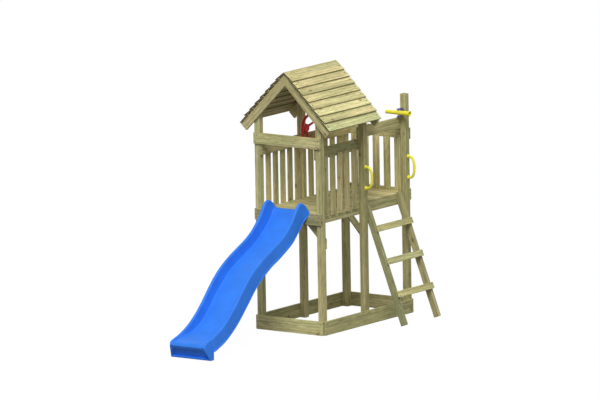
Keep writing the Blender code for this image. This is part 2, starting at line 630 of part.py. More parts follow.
# Handgrips: moulded bows with a round foot at each end, screwed to the posts beside the ladder
GRIP_STEPS = 16
for row, post_y in (("middle", MIDDLE_Y), ("back", BACK_Y)):
    grip_mesh = bmesh.new()
    centres, radii = [], []
    face_x = OUT_X + SEAT
    for k in range(GRIP_STEPS + 1):
        angle = math.pi * (k / GRIP_STEPS - 0.5)
        reach = math.cos(angle) ** 0.62 if 0 < k < GRIP_STEPS else 0.0
        rise = math.copysign(abs(math.sin(angle)) ** 0.85, angle)
        centres.append(Vector((GRIP_FOOT_T + (GRIP_BOW - GRIP_FOOT_T) * reach, 0.0, GRIP_SPAN / 2 * rise)))
        radii.append(GRIP_R)
    for end, order in ((centres[0], 0), (centres[-1], 1)):
        foot = [Vector((x, 0.0, end.z)) for x in (0.0, GRIP_FOOT_T - 0.002, GRIP_FOOT_T)]
        foot_radii = [GRIP_FOOT_R, GRIP_FOOT_R, GRIP_FOOT_R - 0.003]
        if order == 0:
            centres = foot + centres
            radii = foot_radii + radii
        else:
            centres = centres + foot[::-1]
            radii = radii + foot_radii[::-1]
    centres = [point if k not in (3, len(centres) - 4) else point + Vector((0.001, 0.0, 0.0))
               for k, point in enumerate(centres)]
    sweep(grip_mesh, centres, radii, 12, Vector((0.0, 1.0, 0.0)))
    grip = make(f"handgrip_{row}", grip_mesh, YELLOW, place=(face_x, post_y + POST / 2, GRIP_Z))
    smooth(grip)


def turned(bm, profile, axis, sides):
    """A body turned round an axis, from closed (distance along, radius) points that start and end on it."""
    along = Vector(axis)
    one = Vector((0.0, 0.0, 1.0)) if abs(along.z) < 0.5 else Vector((1.0, 0.0, 0.0))
    two = along.cross(one)
    rings = []
    for distance, radius in profile:
        if radius == 0.0:
            rings.append([bm.verts.new(along * distance)])
            continue
        ring = []
        for s in range(sides):
            angle = 2 * math.pi * s / sides
            ring.append(bm.verts.new(along * distance + (one * math.cos(angle) + two * math.sin(angle)) * radius))
        rings.append(ring)
    for ring, following in zip(rings, rings[1:]):
        for s in range(sides):
            after = (s + 1) % sides
            corners = [ring[s % len(ring)], ring[after % len(ring)],
                       following[after % len(following)], following[s % len(following)]]
            unique = list(dict.fromkeys(corners))
            if len(unique) > 2:
                bm.faces.new(unique)


# Steering wheel: a dished wheel on a pin that stands on a round plate on the middle post's inner side
wheel_centre = Vector((-RAIL_OUT, MIDDLE_Y + POST / 2, WHEEL_Z))
mount_mesh = bmesh.new()
pin_end = WHEEL_PLATE_T + SEAT + WHEEL_HUB_L - WHEEL_CAP_T
turned(mount_mesh, [(0.0, 0.0), (0.0, WHEEL_PLATE_R), (WHEEL_PLATE_T - 0.002, WHEEL_PLATE_R),
                    (WHEEL_PLATE_T, WHEEL_PLATE_R - 0.002), (WHEEL_PLATE_T, WHEEL_PIN_R),
                    (pin_end, WHEEL_PIN_R), (pin_end, 0.0)], (1, 0, 0), PIN_SIDES)
smooth(make("wheel_mount", mount_mesh, RED, place=wheel_centre))
hub_back = WHEEL_PLATE_T + SEAT
hub_mesh = bmesh.new()
bore_end = pin_end + SEAT
hub_front = hub_back + WHEEL_HUB_L
turned(hub_mesh, [(bore_end, 0.0), (bore_end, WHEEL_PIN_R + RUN), (hub_back, WHEEL_PIN_R + RUN),
                  (hub_back, WHEEL_HUB_R), (hub_front - 0.004, WHEEL_HUB_R), (hub_front, WHEEL_HUB_R - 0.008),
                  (hub_front, 0.0)], (1, 0, 0), PIN_SIDES)
wheel = make("steering_wheel", hub_mesh, RED, place=wheel_centre)
rim_x = WHEEL_DISH
rim_mesh = bmesh.new()
RIM_SIDES = 40
TUBE_SIDES = 10
rim_radius = WHEEL_R - WHEEL_TUBE
grid = []
for a in range(RIM_SIDES):
    turn = 2 * math.pi * a / RIM_SIDES
    ring = []
    for b in range(TUBE_SIDES):
        angle = 2 * math.pi * b / TUBE_SIDES
        radius = rim_radius + WHEEL_TUBE * math.cos(angle)
        ring.append(rim_mesh.verts.new((rim_x + WHEEL_TUBE * math.sin(angle), radius * math.cos(turn),
                                        radius * math.sin(turn))))
    grid.append(ring)
for a in range(RIM_SIDES):
    for b in range(TUBE_SIDES):
        ring, following = grid[a], grid[(a + 1) % RIM_SIDES]
        after = (b + 1) % TUBE_SIDES
        rim_mesh.faces.new((ring[b], following[b], following[after], ring[after]))
rim = make("wheel_rim", rim_mesh, RED, place=wheel_centre)
boolean(wheel, rim, "UNION")
for number in range(SPOKES):
    turn = math.radians(30 + 120 * number)
    outward = Vector((0.0, math.cos(turn), math.sin(turn)))
    start = Vector((hub_back + WHEEL_HUB_L * 0.55, 0.0, 0.0)) + outward * (WHEEL_HUB_R - 0.012)
    finish_point = Vector((rim_x, 0.0, 0.0)) + outward * rim_radius
    spoke_mesh = bmesh.new()
    steps = [start.lerp(finish_point, t) for t in (0.0, 0.5, 1.0)]
    across = outward.cross(Vector((1.0, 0.0, 0.0)))
    sweep(spoke_mesh, steps, [SPOKE_R * 1.25, SPOKE_R, SPOKE_R * 0.9], 10, across)
    boolean(wheel, make(f"wheel_spoke_{number + 1}", spoke_mesh, RED, place=wheel_centre), "UNION")
smooth(wheel)

# Telescope: a base on the back post, a forked bracket that turns on it, and a tube held between the arms
scope = bpy.data.objects.new("telescope_place", None)
scope.location = (SCOPE_X, SCOPE_Y, SCOPE_Z)
scope.parent = tower
bpy.context.collection.objects.link(scope)
base_back = SCOPE_STAND - SEAT
base_front = base_back - SCOPE_BASE_T
web_back = base_front - SEAT
web_front = web_back - SCOPE_WEB_T
base_mesh = bmesh.new()
box(base_mesh, (-SCOPE_BASE / 2, SCOPE_BASE / 2), (base_front, base_back), (-SCOPE_BASE / 2, SCOPE_BASE / 2), 0.002)
base = make("telescope_base", base_mesh, PURPLE, parent=scope)
pin_mesh = bmesh.new()
turned(pin_mesh, [(base_front + 0.002, 0.0), (base_front + 0.002, SCOPE_PIN_R), (web_front, SCOPE_PIN_R),
                  (web_front, 0.0)], (0, 1, 0), PIN_SIDES)
boolean(base, make("telescope_base_pin", pin_mesh, PURPLE, parent=scope), "UNION")
arm_end = -0.020
bracket_mesh = bmesh.new()
arm_out = SCOPE_ARM_Z + SCOPE_ARM_T
fork = [(web_back, -arm_out), (web_back, arm_out), (arm_end, arm_out), (arm_end, SCOPE_ARM_Z),
        (web_front, SCOPE_ARM_Z), (web_front, -SCOPE_ARM_Z), (arm_end, -SCOPE_ARM_Z), (arm_end, -arm_out)]
prism(bracket_mesh, fork, lambda y, z, end: ((-SCOPE_ARM_HALF, SCOPE_ARM_HALF)[end], y, z), 0.0015)
bracket = make("telescope_bracket", bracket_mesh, PURPLE, parent=scope)
hole_mesh = bmesh.new()
turned(hole_mesh, [(web_front - 0.01, 0.0), (web_front - 0.01, SCOPE_PIN_R + RUN),
                   (web_back + 0.01, SCOPE_PIN_R + RUN), (web_back + 0.01, 0.0)], (0, 1, 0), PIN_SIDES)
boolean(bracket, make("bracket_bore", hole_mesh, PURPLE, parent=scope), "DIFFERENCE")
trunnion_mesh = bmesh.new()
trunnion_reach = arm_out + 0.01
turned(trunnion_mesh, [(-trunnion_reach, 0.0), (-trunnion_reach, SCOPE_TRUNNION_R + RUN),
                       (trunnion_reach, SCOPE_TRUNNION_R + RUN), (trunnion_reach, 0.0)], (0, 0, 1), PIN_SIDES)
boolean(bracket, make("bracket_holes", trunnion_mesh, PURPLE, parent=scope), "DIFFERENCE")
scope_length = SCOPE_FRONT - SCOPE_EYE
hood = 0.018             # length of the wider ring at the front
tube_mesh = bmesh.new()
outer_line = [(SCOPE_EYE, SCOPE_EYE_R), (SCOPE_FRONT - hood, SCOPE_FRONT_R - 0.003),
              (SCOPE_FRONT - hood, SCOPE_FRONT_R), (SCOPE_FRONT, SCOPE_FRONT_R)]
inner_line = [(SCOPE_FRONT, SCOPE_FRONT_R - SCOPE_WALL), (SCOPE_FRONT - hood, SCOPE_FRONT_R - 0.003 - SCOPE_WALL),
              (SCOPE_EYE, SCOPE_EYE_R - SCOPE_WALL)]
loop = outer_line + inner_line
turned(tube_mesh, loop + loop[:1], (1, 0, 0), 24)
bmesh.ops.remove_doubles(tube_mesh, verts=tube_mesh.verts, dist=0.00001)
tube = make("telescope_tube", tube_mesh, YELLOW, parent=scope)
tube_radius = SCOPE_EYE_R + (SCOPE_FRONT_R - SCOPE_EYE_R) * (-SCOPE_EYE / scope_length)
for sign, name in ((1, "upper"), (-1, "lower")):
    boss_mesh = bmesh.new()
    boss_start = tube_radius - 0.004
    boss_end = SCOPE_ARM_Z - SEAT
    pivot_end = arm_out - SEAT
    turned(boss_mesh, [(sign * boss_start, 0.0), (sign * boss_start, SCOPE_BOSS_R), (sign * boss_end, SCOPE_BOSS_R),
                       (sign * boss_end, SCOPE_TRUNNION_R), (sign * pivot_end, SCOPE_TRUNNION_R),
                       (sign * pivot_end, 0.0)], (0, 0, 1), PIN_SIDES)
    boolean(tube, make(f"telescope_boss_{name}", boss_mesh, YELLOW, parent=scope), "UNION")
smooth(tube)
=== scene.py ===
import itertools
import math

import bmesh
import bpy
from mathutils import Euler, Matrix, Vector


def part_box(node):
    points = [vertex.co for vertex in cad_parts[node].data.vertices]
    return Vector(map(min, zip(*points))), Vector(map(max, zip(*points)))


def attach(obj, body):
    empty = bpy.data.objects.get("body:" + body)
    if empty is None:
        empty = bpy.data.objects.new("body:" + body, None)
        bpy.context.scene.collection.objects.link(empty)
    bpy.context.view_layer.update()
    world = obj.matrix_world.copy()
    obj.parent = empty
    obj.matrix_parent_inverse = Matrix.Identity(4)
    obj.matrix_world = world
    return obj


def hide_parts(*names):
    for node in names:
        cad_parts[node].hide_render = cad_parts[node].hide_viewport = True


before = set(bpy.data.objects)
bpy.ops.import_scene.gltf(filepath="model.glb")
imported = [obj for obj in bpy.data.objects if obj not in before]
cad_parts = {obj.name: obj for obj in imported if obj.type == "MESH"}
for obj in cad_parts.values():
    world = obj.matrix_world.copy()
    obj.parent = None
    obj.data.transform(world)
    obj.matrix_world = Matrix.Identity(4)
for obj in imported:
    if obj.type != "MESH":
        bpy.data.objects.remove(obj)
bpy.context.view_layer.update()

# The photograph's view: a very long lens, off to the ladder's side of the front and a little above.
# The tower stands on a plain white floor in soft, even studio light that comes from above the front.
PHOTO_WIDTH = 600
PIXELS_PER_METRE = 102.05
VIEW_TURN = math.radians(35.59)
VIEW_RISE = math.radians(9.74)
VIEW_ROLL = math.radians(-0.99)
VIEW_DISTANCE = 140.0
VIEW_END = 500.0
SENSOR = 36.0
LOOK_AT = Vector((0.0, 0.75, 1.1))      # in the tower's own frame
LOOK_SHIFT = (-0.3253, 0.0970)          # along the picture's width and height
SKY_LIGHT = 0.47
SUN_LIGHT = 2.24
SUN_FROM = Vector((0.36, -0.60, 0.78))
SUN_SPREAD = math.radians(26)
FLOOR_RADIUS = 30.0
FLOOR_SIDES = 96
FLOOR_SHADE = 0.14                      # how much of the floor's shade is kept
FLOOR_GREY = (0.22, 0.22, 0.22, 1.0)
FLOOR_GLOW = 1.14                       # brings the bare floor up to white for the camera
WHITE = (1.0, 1.0, 1.0, 1.0)
X, Y, Z = (Vector(row) for row in Matrix.Identity(3))
scene = bpy.context.scene


def put(name, data):
    """A new object in the scene."""
    made = bpy.data.objects.new(name, data)
    scene.collection.objects.link(made)
    return made


def meshed(name, bm):
    """The mesh that a bmesh holds."""
    mesh = bpy.data.meshes.new(name)
    bm.to_mesh(mesh)
    bm.free()
    return mesh


front_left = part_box("post_front_left")
front_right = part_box("post_front_right")
tower_origin = Vector(((front_left[0].x + front_right[1].x) / 2, front_left[0].y, 0.0))

level = Vector((math.cos(VIEW_TURN), math.sin(VIEW_TURN), 0.0))
back = Z.cross(level) * -math.cos(VIEW_RISE) + Z * math.sin(VIEW_RISE)
upright = back.cross(level)
right = level * math.cos(VIEW_ROLL) + upright * math.sin(VIEW_ROLL)
up = upright * math.cos(VIEW_ROLL) - level * math.sin(VIEW_ROLL)
look_at = tower_origin + LOOK_AT + right * LOOK_SHIFT[0] + up * LOOK_SHIFT[1]
lens = bpy.data.cameras.new("photo_view")
lens.sensor_width = SENSOR
lens.lens = SENSOR * VIEW_DISTANCE * PIXELS_PER_METRE / PHOTO_WIDTH
lens.clip_end = VIEW_END
camera = put("photo_view", lens)
facing = Matrix((right, up, back)).transposed().to_4x4()
camera.matrix_world = Matrix.Translation(look_at + back * VIEW_DISTANCE) @ facing
scene.camera = camera
scene.view_settings.view_transform = "Standard"

sun = bpy.data.lights.new("studio_key", "SUN")
sun.energy = SUN_LIGHT
sun.angle = SUN_SPREAD
put("studio_key", sun).rotation_euler = SUN_FROM.to_track_quat("Z", "Y").to_euler()


class Value:
    """A value in a node tree. Python's own signs add, subtract and multiply it."""

    def __init__(self, socket):
        self.socket = socket

    def __add__(self, other):
        return calc("ADD", self, other)

    def __sub__(self, other):
        return calc("SUBTRACT", self, other)

    def __rsub__(self, other):
        return calc("SUBTRACT", other, self)

    def __mul__(self, other):
        return calc("MULTIPLY", self, other)


def feed(inputs, values):
    """Links each value to the input of that name or number, or sets the input to it."""
    for name, value in values.items():
        if isinstance(value, Value):
            value.socket.id_data.links.new(value.socket, inputs[name])
        else:
            inputs[name].default_value = value


def add_node(tree, kind, inputs=None, **options):
    """A new node with its options and inputs set."""
    made = tree.nodes.new(kind)
    for name, option in options.items():
        setattr(made, name, option)
    feed(made.inputs, inputs or {})
    return made


def result(tree, kind, inputs=None, output=0, **options):
    """One output of a new node."""
    return Value(add_node(tree, kind, inputs, **options).outputs[output])


def calc(operation, *values, kind="ShaderNodeMath", **options):
    """The result of a Math node in the tree that the values are in."""
    tree = next(value.socket.id_data for value in values if isinstance(value, Value))
    return result(tree, kind, dict(enumerate(values)), operation=operation, **options)


def seen_directly(tree):
    """1 for rays from the camera, and for those that metal and glass send on, and 0 for light."""
    seen = [result(tree, "ShaderNodeLightPath", output=f"Is {way} Ray")
            for way in ("Camera", "Glossy", "Transmission")]
    return calc("MAXIMUM", seen[0], calc("MAXIMUM", seen[1], seen[2]))


world = bpy.data.worlds.new("studio")
world.use_nodes = True
sky = world.node_tree
sky_strength = seen_directly(sky) * (1.0 - SKY_LIGHT) + SKY_LIGHT
feed(sky.nodes["Background"].inputs, {"Color": WHITE, "Strength": sky_strength})
scene.world = world

floor_mesh = bmesh.new()
bmesh.ops.create_circle(floor_mesh, cap_ends=True, segments=FLOOR_SIDES, radius=FLOOR_RADIUS)
floor = put("studio_floor", meshed("studio_floor", floor_mesh))
floor_paint = bpy.data.materials.new("studio_floor")
floor_paint.use_nodes = True
paint = floor_paint.node_tree
paint.nodes.clear()
matt = result(paint, "ShaderNodeBsdfDiffuse", {"Color": FLOOR_GREY})
glow = result(paint, "ShaderNodeEmission", {"Color": WHITE, "Strength": FLOOR_GLOW})
glow_share = seen_directly(paint) * (1.0 - FLOOR_SHADE)
white = result(paint, "ShaderNodeMixShader", {0: glow_share, 1: matt, 2: glow})
add_node(paint, "ShaderNodeOutputMaterial", {"Surface": white})
floor.data.materials.append(floor_paint)


# The timber is pressure-treated pine, planed with eased edges. It is olive to tan, with darker growth rings
# that run on into the end grain, greenish streaks from the treatment, and knots.
RING_WIDTH = 0.0058
RING_WANDER = 0.026
RING_DARK = 0.24                        # how much a growth ring darkens the wood
LATE_WOOD = 2.2                         # the higher, the thinner the dark line of a ring
KNOTS_PER_METRE = 8.0
KNOT_SIZE = 0.105                       # in knot spacings
STREAKS = (64.0, 3.0, (1.0, 1.0, 0.020), 0.65)  # of each noise: scale, detail, stretch and roughness
FIBRES = (420.0, 2.0, (1.0, 1.0, 0.020), 0.6)
MOTTLES = (75.0, 3.0, (1.0, 1.0, 0.16), 0.6)
PATCHES = (5.0, 2.0, (1.0, 1.0, 0.22))
GREEN_PATCHES = (17.0, 2.0, (1.0, 1.0, 0.045))
OLIVE = (0.400, 0.372, 0.165, 1.0)
TAN = (0.560, 0.480, 0.238, 1.0)
GREENISH = (0.345, 0.365, 0.172, 1.0)
KNOT_BROWN = (0.135, 0.085, 0.040, 1.0)
PINE_ROUGHNESS = 0.67
PINE_SHINE = 0.3
END_SHADE = 0.28                        # how much darker end grain is: its own tone and painted shade


def tint(color, factor):
    """A lighter or darker colour."""
    return (*(part * factor for part in color[:3]), 1.0)


def part_of(value, factor):
    """A number from 0 to 1 that looks random from board to board."""
    return calc("FRACT", value * factor)


def ramp(value, low, high):
    """A smooth step from 0 at low to 1 at high."""
    return result(value.socket.id_data, "ShaderNodeMapRange", {
        "Value": value, "From Min": low, "From Max": high}, "Result", interpolation_type="SMOOTHSTEP")


def blended(share, one, two, how="MIX"):
    """Two colours mixed."""
    tree = next(value.socket.id_data for value in (share, one, two) if isinstance(value, Value))
    return result(tree, "ShaderNodeMix", {"Factor": share, 6: one, 7: two}, 2,
                  data_type="RGBA", blend_type=how)


def vectors(operation, *values):
    """The result of a Vector Math node."""
    return calc(operation, *values, kind="ShaderNodeVectorMath")


def axes(vector):
    """The three parts of a vector."""
    parts = add_node(vector.socket.id_data, "ShaderNodeSeparateXYZ", {0: vector}).outputs
    return [Value(part) for part in parts]


def noise(vector, scale, detail=2.0, stretch=(1.0, 1.0, 1.0), roughness=0.5):
    """A noise from 0 to 1, stretched along an axis."""
    return result(vector.socket.id_data, "ShaderNodeTexNoise", {
        "Vector": vectors("MULTIPLY", vector, stretch), "Scale": scale, "Detail": detail,
        "Roughness": roughness}, "Fac")


def group(name, kind, inputs, outputs):
    """A new node tree with its sockets, and the values that it is given."""
    tree = bpy.data.node_groups.new(name, kind)
    for in_out, sockets in (("INPUT", inputs), ("OUTPUT", outputs)):
        for socket, carries in sockets.items():
            tree.interface.new_socket(socket, in_out=in_out, socket_type=f"NodeSocket{carries}")
    given = tree.nodes.new("NodeGroupInput").outputs
    return tree, {socket.name: Value(socket) for socket in given}


def pine_pattern():
    """The wood itself: grain runs along Z, Facing is the surface's way, and Board tells boards apart."""
    tree, given = group("treated_pine", "ShaderNodeTree", {
        "Grain": "Vector", "Facing": "Vector", "Board": "Float", "Pale": "Float", "End Shade": "Float",
        "Painted Shade": "Float", "Green": "Float"}, {"Color": "Color", "Roughness": "Float", "Height": "Float"})
    board = given["Board"]
    apart = result(tree, "ShaderNodeCombineXYZ", {0: board * 3.1, 1: board * 5.7, 2: board * 17.0})
    grain = vectors("ADD", given["Grain"], apart)
    own_x, own_y, own_z = axes(given["Grain"])

    # Knots bend the rings round them
    spaced = vectors("MULTIPLY", grain, (1.0, 1.0, 0.55))
    from_knot = result(tree, "ShaderNodeTexVoronoi", {
        "Vector": spaced, "Scale": KNOTS_PER_METRE, "Randomness": 1.0}, "Distance")
    knot = ramp(from_knot, KNOT_SIZE, KNOT_SIZE * 0.7)
    near_knot = ramp(from_knot, KNOT_SIZE * 2.6, KNOT_SIZE * 0.8)

    # Rings about the heart of the tree, which lies off the board and leans a little
    x = own_x + (part_of(board, 137.1) * 0.09 - 0.045) + own_z * (part_of(board, 31.7) * 0.05 - 0.025)
    y = own_y + (part_of(board, 53.3) * 0.035 + 0.018) + own_z * (part_of(board, 91.3) * 0.07 - 0.035)
    wander = noise(grain, 5.0, 2.0, (1.0, 1.0, 0.30))
    radius = calc("SQRT", x * x + y * y) + wander * RING_WANDER + near_knot * 0.009
    wave = calc("SINE", radius * (2.0 * math.pi / RING_WIDTH))
    late = calc("POWER", wave * 0.5 + 0.5, LATE_WOOD)

    fibre = noise(grain, *FIBRES)
    patch = noise(grain, *PATCHES)
    warm = calc("ADD", (part_of(board, 211.9) - 0.5) * 0.9, ramp(patch, 0.30, 0.70), use_clamp=True)
    greened = ramp(noise(grain, *GREEN_PATCHES), 0.50, 0.72) * 0.62
    color = blended(calc("ADD", greened, given["Green"], use_clamp=True), blended(warm, OLIVE, TAN), GREENISH)
    shade = late * -RING_DARK + (1.0 + RING_DARK * 0.38)
    shade *= ramp(noise(grain, *STREAKS), 0.32, 0.68) * 0.48 + 0.76
    shade *= fibre * 0.28 + 0.86
    shade *= ramp(noise(grain, *MOTTLES), 0.3, 0.7) * 0.34 + 0.83
    shade *= part_of(board, 71.3) * 0.16 + 0.93

    # Eased edges are worn pale, and end grain goes dark, partly from drinking the treatment and partly as
    # painted shade
    turned_x, turned_y, turned_z = axes(vectors("ABSOLUTE", given["Facing"]))
    squarest = calc("MAXIMUM", calc("MAXIMUM", turned_x, turned_y), turned_z)
    shade *= ramp(squarest, 0.97, 0.85) * ramp(patch, 0.25, 0.6) * 0.16 + 1.0
    shade *= 1.0 - ramp(turned_z, 0.85, 0.95) * given["End Shade"]
    # painted shade on the roof boards' lower edges and under their laps
    shade *= 1.0 - given["Painted Shade"]
    heart = blended(ramp(from_knot, KNOT_SIZE * 0.3, KNOT_SIZE * 0.7), tint(KNOT_BROWN, 1.7), KNOT_BROWN)
    color = blended(near_knot * 0.25, blended(1.0, color, shade, "MULTIPLY"), tint(KNOT_BROWN, 2.1))
    color = blended(1.0, blended(knot * 0.8, color, heart), given["Pale"], "MULTIPLY")

    rough = fibre * 0.18 + PINE_ROUGHNESS + knot * -0.18
    height = late * -0.5 + fibre * 0.8 + knot * -0.5
    add_node(tree, "NodeGroupOutput", {"Color": color, "Roughness": rough, "Height": height})
    return tree


PINE = pine_pattern()


def new_material(name):
    """A material, its node tree and its shader's inputs."""
    material = bpy.data.materials.new(name)
    material.use_nodes = True
    return material, material.node_tree, material.node_tree.nodes["Principled BSDF"].inputs


def pine(name, inputs):
    """A timber material. The function that it is given makes the pattern's inputs in a tree."""
    material, tree, shader = new_material(name)
    wood = add_node(tree, "ShaderNodeGroup", node_tree=PINE)
    feed(wood.inputs, {"Pale": 1.0, "End Shade": END_SHADE, **inputs(tree)})
    color, rough, height = (Value(output) for output in wood.outputs)
    relief = result(tree, "ShaderNodeBump", {"Height": height, "Strength": 0.55, "Distance": 0.0007})
    feed(shader, {
        "Base Color": color, "Roughness": rough, "Normal": relief, "Specular IOR Level": PINE_SHINE})
    return material


# Some boards are cut from paler or darker wood than the rest. The factors also hold painted light: the
# paler ones at the back and left lift their shade, and the darker ones at the front and right paint in shade.
SHADES = {
    "base_front": 1.35, "base_left": 1.20, "rail_front": 1.15, "entry_bar": 1.15, "joist_front": 0.75,
    "stringer_near": 0.80, "stringer_far": 0.85, "rung_1": 1.25, "rung_2": 1.20, "rung_3": 1.20,
    "post_front_left": 1.30, "post_middle_right": 0.80, "post_middle_left": 1.10, "post_back_left": 1.25,
    "barge_front_left": 0.90, "barge_back_left": 1.15, "brace_middle_right": 0.75,
    "roof_board_right_1": 0.80, "roof_board_right_3": 0.85, "roof_board_right_6": 1.20,
    "roof_board_right_8": 1.15,
}
# Boards that took up more of the green treatment, or less of it
GREENER = {
    "base_right": 0.20, "joist_right": 0.25, "joist_front": 0.25, "post_front_left": 0.35,
    "stringer_near": 0.65, "stringer_far": 0.20, "rung_2": 0.70, "rung_3": -0.60, "entry_bar": -0.60,
    "post_back_left": -0.60, "roof_board_right_8": 0.80, "roof_board_right_6": 0.45,
    "roof_board_right_3": 0.20,
}
GOLDEN = 0.6180339887                   # spreads the boards evenly over the pattern
board_numbers = itertools.count(1)


def along(direction):
    """The turn that lays a board's length, which runs in X and Z or in Y and Z, along Z."""
    if abs(direction.y) > 0.5:
        return Euler((math.atan2(direction.y, direction.z), 0.0, 0.0))
    return Euler((0.0, math.atan2(-direction.x, direction.z), 0.0))


# A board may be given painted shade, as the roof boards are on their lower edges and under their laps
def timber(piece, direction, pale=1.0, end_shade=END_SHADE, stain_and_painted_shade=lambda tree: 0.0):
    """Gives a CAD board its own piece of the tree, with the grain along its length."""
    low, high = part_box(piece)
    turn = along(direction)
    centre = (low + high) / 2
    centre.rotate(turn)
    board = next(board_numbers) * GOLDEN % 1.0

    def inputs(tree):
        spot = add_node(tree, "ShaderNodeTexCoord").outputs
        return {
            "Grain": result(tree, "ShaderNodeMapping", {
                "Vector": Value(spot["Object"]), "Location": -centre, "Rotation": turn}),
            "Facing": result(tree, "ShaderNodeMapping", {"Vector": Value(spot["Normal"]), "Rotation": turn},
                             vector_type="VECTOR"),
            "Board": board, "Pale": pale * SHADES.get(piece, 1.0), "Green": GREENER.get(piece, 0.0),
            "End Shade": end_shade, "Painted Shade": stain_and_painted_shade(tree)}

    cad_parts[piece].data.materials[0] = pine(f"pine_{piece}", inputs)


# Six square posts carry everything. The four under the roof are cut to its slope at the top, and the two
# at the back stand free.
ROWS = ("front", "middle", "back")
SIDES = (("left", -1), ("right", 1))
for row in ROWS:
    for side, _ in SIDES:
        timber(f"post_{row}_{side}", Z)

# Boards on edge tie the posts together: four round the ground as a sandbox, the platform's joists,
# and the rails. They are screwed to the posts.
for name, length in (
    ("base_back", X), ("base_front", X), ("base_left", Y), ("base_right", Y),
    ("joist_front", X), ("joist_back", X), ("joist_left", Y), ("joist_right", Y), ("joist_cross", X),
    ("rail_front", X), ("entry_bar", Y),
):
    timber(name, length)

# Braces stiffen the corners under the platform, one pair on the middle posts and one on the front posts.
# Their ends are cut at 45 degrees.
for side, sign in SIDES:
    timber(f"brace_middle_{side}", (Z - Y).normalized())
    timber(f"brace_front_{side}", (Z - X * sign).normalized())

# The barge boards are the roof's rafters, mitred at the ridge, one pair on the front posts and one pair
# behind the middle posts.
for row in ("front", "back"):
    for side, sign in SIDES:
        timber(f"barge_{row}_{side}", (Z - X * sign).normalized())

# Eight boards on each slope lap one another from the eaves up, and meet at the ridge. They are thinner
# and fresher than the rest, so they look paler. The left slope is toned down, because the studio light
# fills its shade more than the photo's light does.
ROOF_BOARDS = 8
ROOF_PALE = {"left": 0.85, "right": 1.22}
LAP_END_SHADE = 0.94                    # painted shade: the boards' ends go near black
LAP_PAINTED_SHADOW = 0.70                        # painted shadow: a dark line under each lap
LAP_SHADOW_WIDTH = 0.004                        # width of that line
EDGE_PAINTED_SHADE = 0.62                       # painted shade on the boards' lower edges
SLAT_STEP = 0.0899
ROOT2 = math.sqrt(2.0)


def lap_painted_shade(tree, piece, sign, lapped):
    """Painted shade on a roof board's lower edge and painted shadow below the board that laps it."""
    low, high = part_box(piece)
    spot = add_node(tree, "ShaderNodeTexCoord").outputs
    facing_x, _, facing_z = axes(Value(spot["Normal"]))
    edge = ramp(facing_x * sign - facing_z, 0.9, 1.2) * EDGE_PAINTED_SHADE
    if not lapped:
        return edge
    x, _, z = axes(Value(spot["Object"]))
    down = (x * sign - z) * (1.0 / ROOT2)
    lap = ((high.x if sign > 0 else -low.x) - low.z) / ROOT2 - SLAT_STEP
    line = ramp(down, lap - LAP_SHADOW_WIDTH * 0.3, lap) * ramp(down, lap + LAP_SHADOW_WIDTH * 1.3, lap + LAP_SHADOW_WIDTH * 0.6)
    lap_shadow_strength = noise(Value(spot["Object"]), 14.0) * 0.3 + (LAP_PAINTED_SHADOW - 0.15)
    return calc("MAXIMUM", edge, line * lap_shadow_strength)


# Each roof board gets painted shade on its end, its lower edge and under the board that laps it
for side, sign in SIDES:
    for number in range(1, ROOF_BOARDS + 1):
        node = f"roof_board_{side}_{number}"
        timber(node, Y, ROOF_PALE[side], LAP_END_SHADE, lambda tree: lap_painted_shade(tree, node, sign, number > 1))

# The ladder leans on the side of the platform: two stringers with three rungs screwed to their
# outer edges.
LADDER_LEAN = math.radians(20.7)
RUNGS = 3
ladder_up = Vector((-math.sin(LADDER_LEAN), 0, math.cos(LADDER_LEAN)))
for name in ("stringer_near", "stringer_far"):
    timber(name, ladder_up)
for number in range(1, RUNGS + 1):
    timber(f"rung_{number}", Y)

# The low walls have five upright boards in each bay, screwed to the outside of a rail and to the joist
# below. The boards are evenly spaced between the posts.
EASE = 0.0025
SEAT = 0.0003                           # the air between two boards
POST = 0.063
BOARD = 0.019
RAIL_H = 0.112
PICKET_W = 0.0737
PICKET_T = 0.016
PICKETS = 5
PICKET_HOLD = 0.030                     # how far a picket laps its rail
PICKET_SHADE = {"left": 1.10, "right": 0.96, "back": 1.20}  # painted light: above 1 lifts the shade that they stand in
# The back rail's factor is painted light that lifts the shade it stands in
BACK_RAIL_SHADE = 1.15
BACK_END_GAP = 0.038
MERGE = 0.00001                         # points nearer than this are one
FOOT_SCREW, BACK_FOOT_SCREW = 0.022, 0.016  # from a picket's foot up to its lower screws
INNER_SCREW = 0.20                      # share of a board's width from its middle to a screw
LAID_X = (0, math.radians(90), 0)
LAID_Y = (math.radians(-90), 0, 0)


def stored(tree, geometry, name, value, kind, domain):
    """The geometry with a value stored on it under a name."""
    return result(tree, "GeometryNodeStoreNamedAttribute", {
        "Geometry": geometry, "Name": name, "Value": value}, data_type=kind, domain=domain)


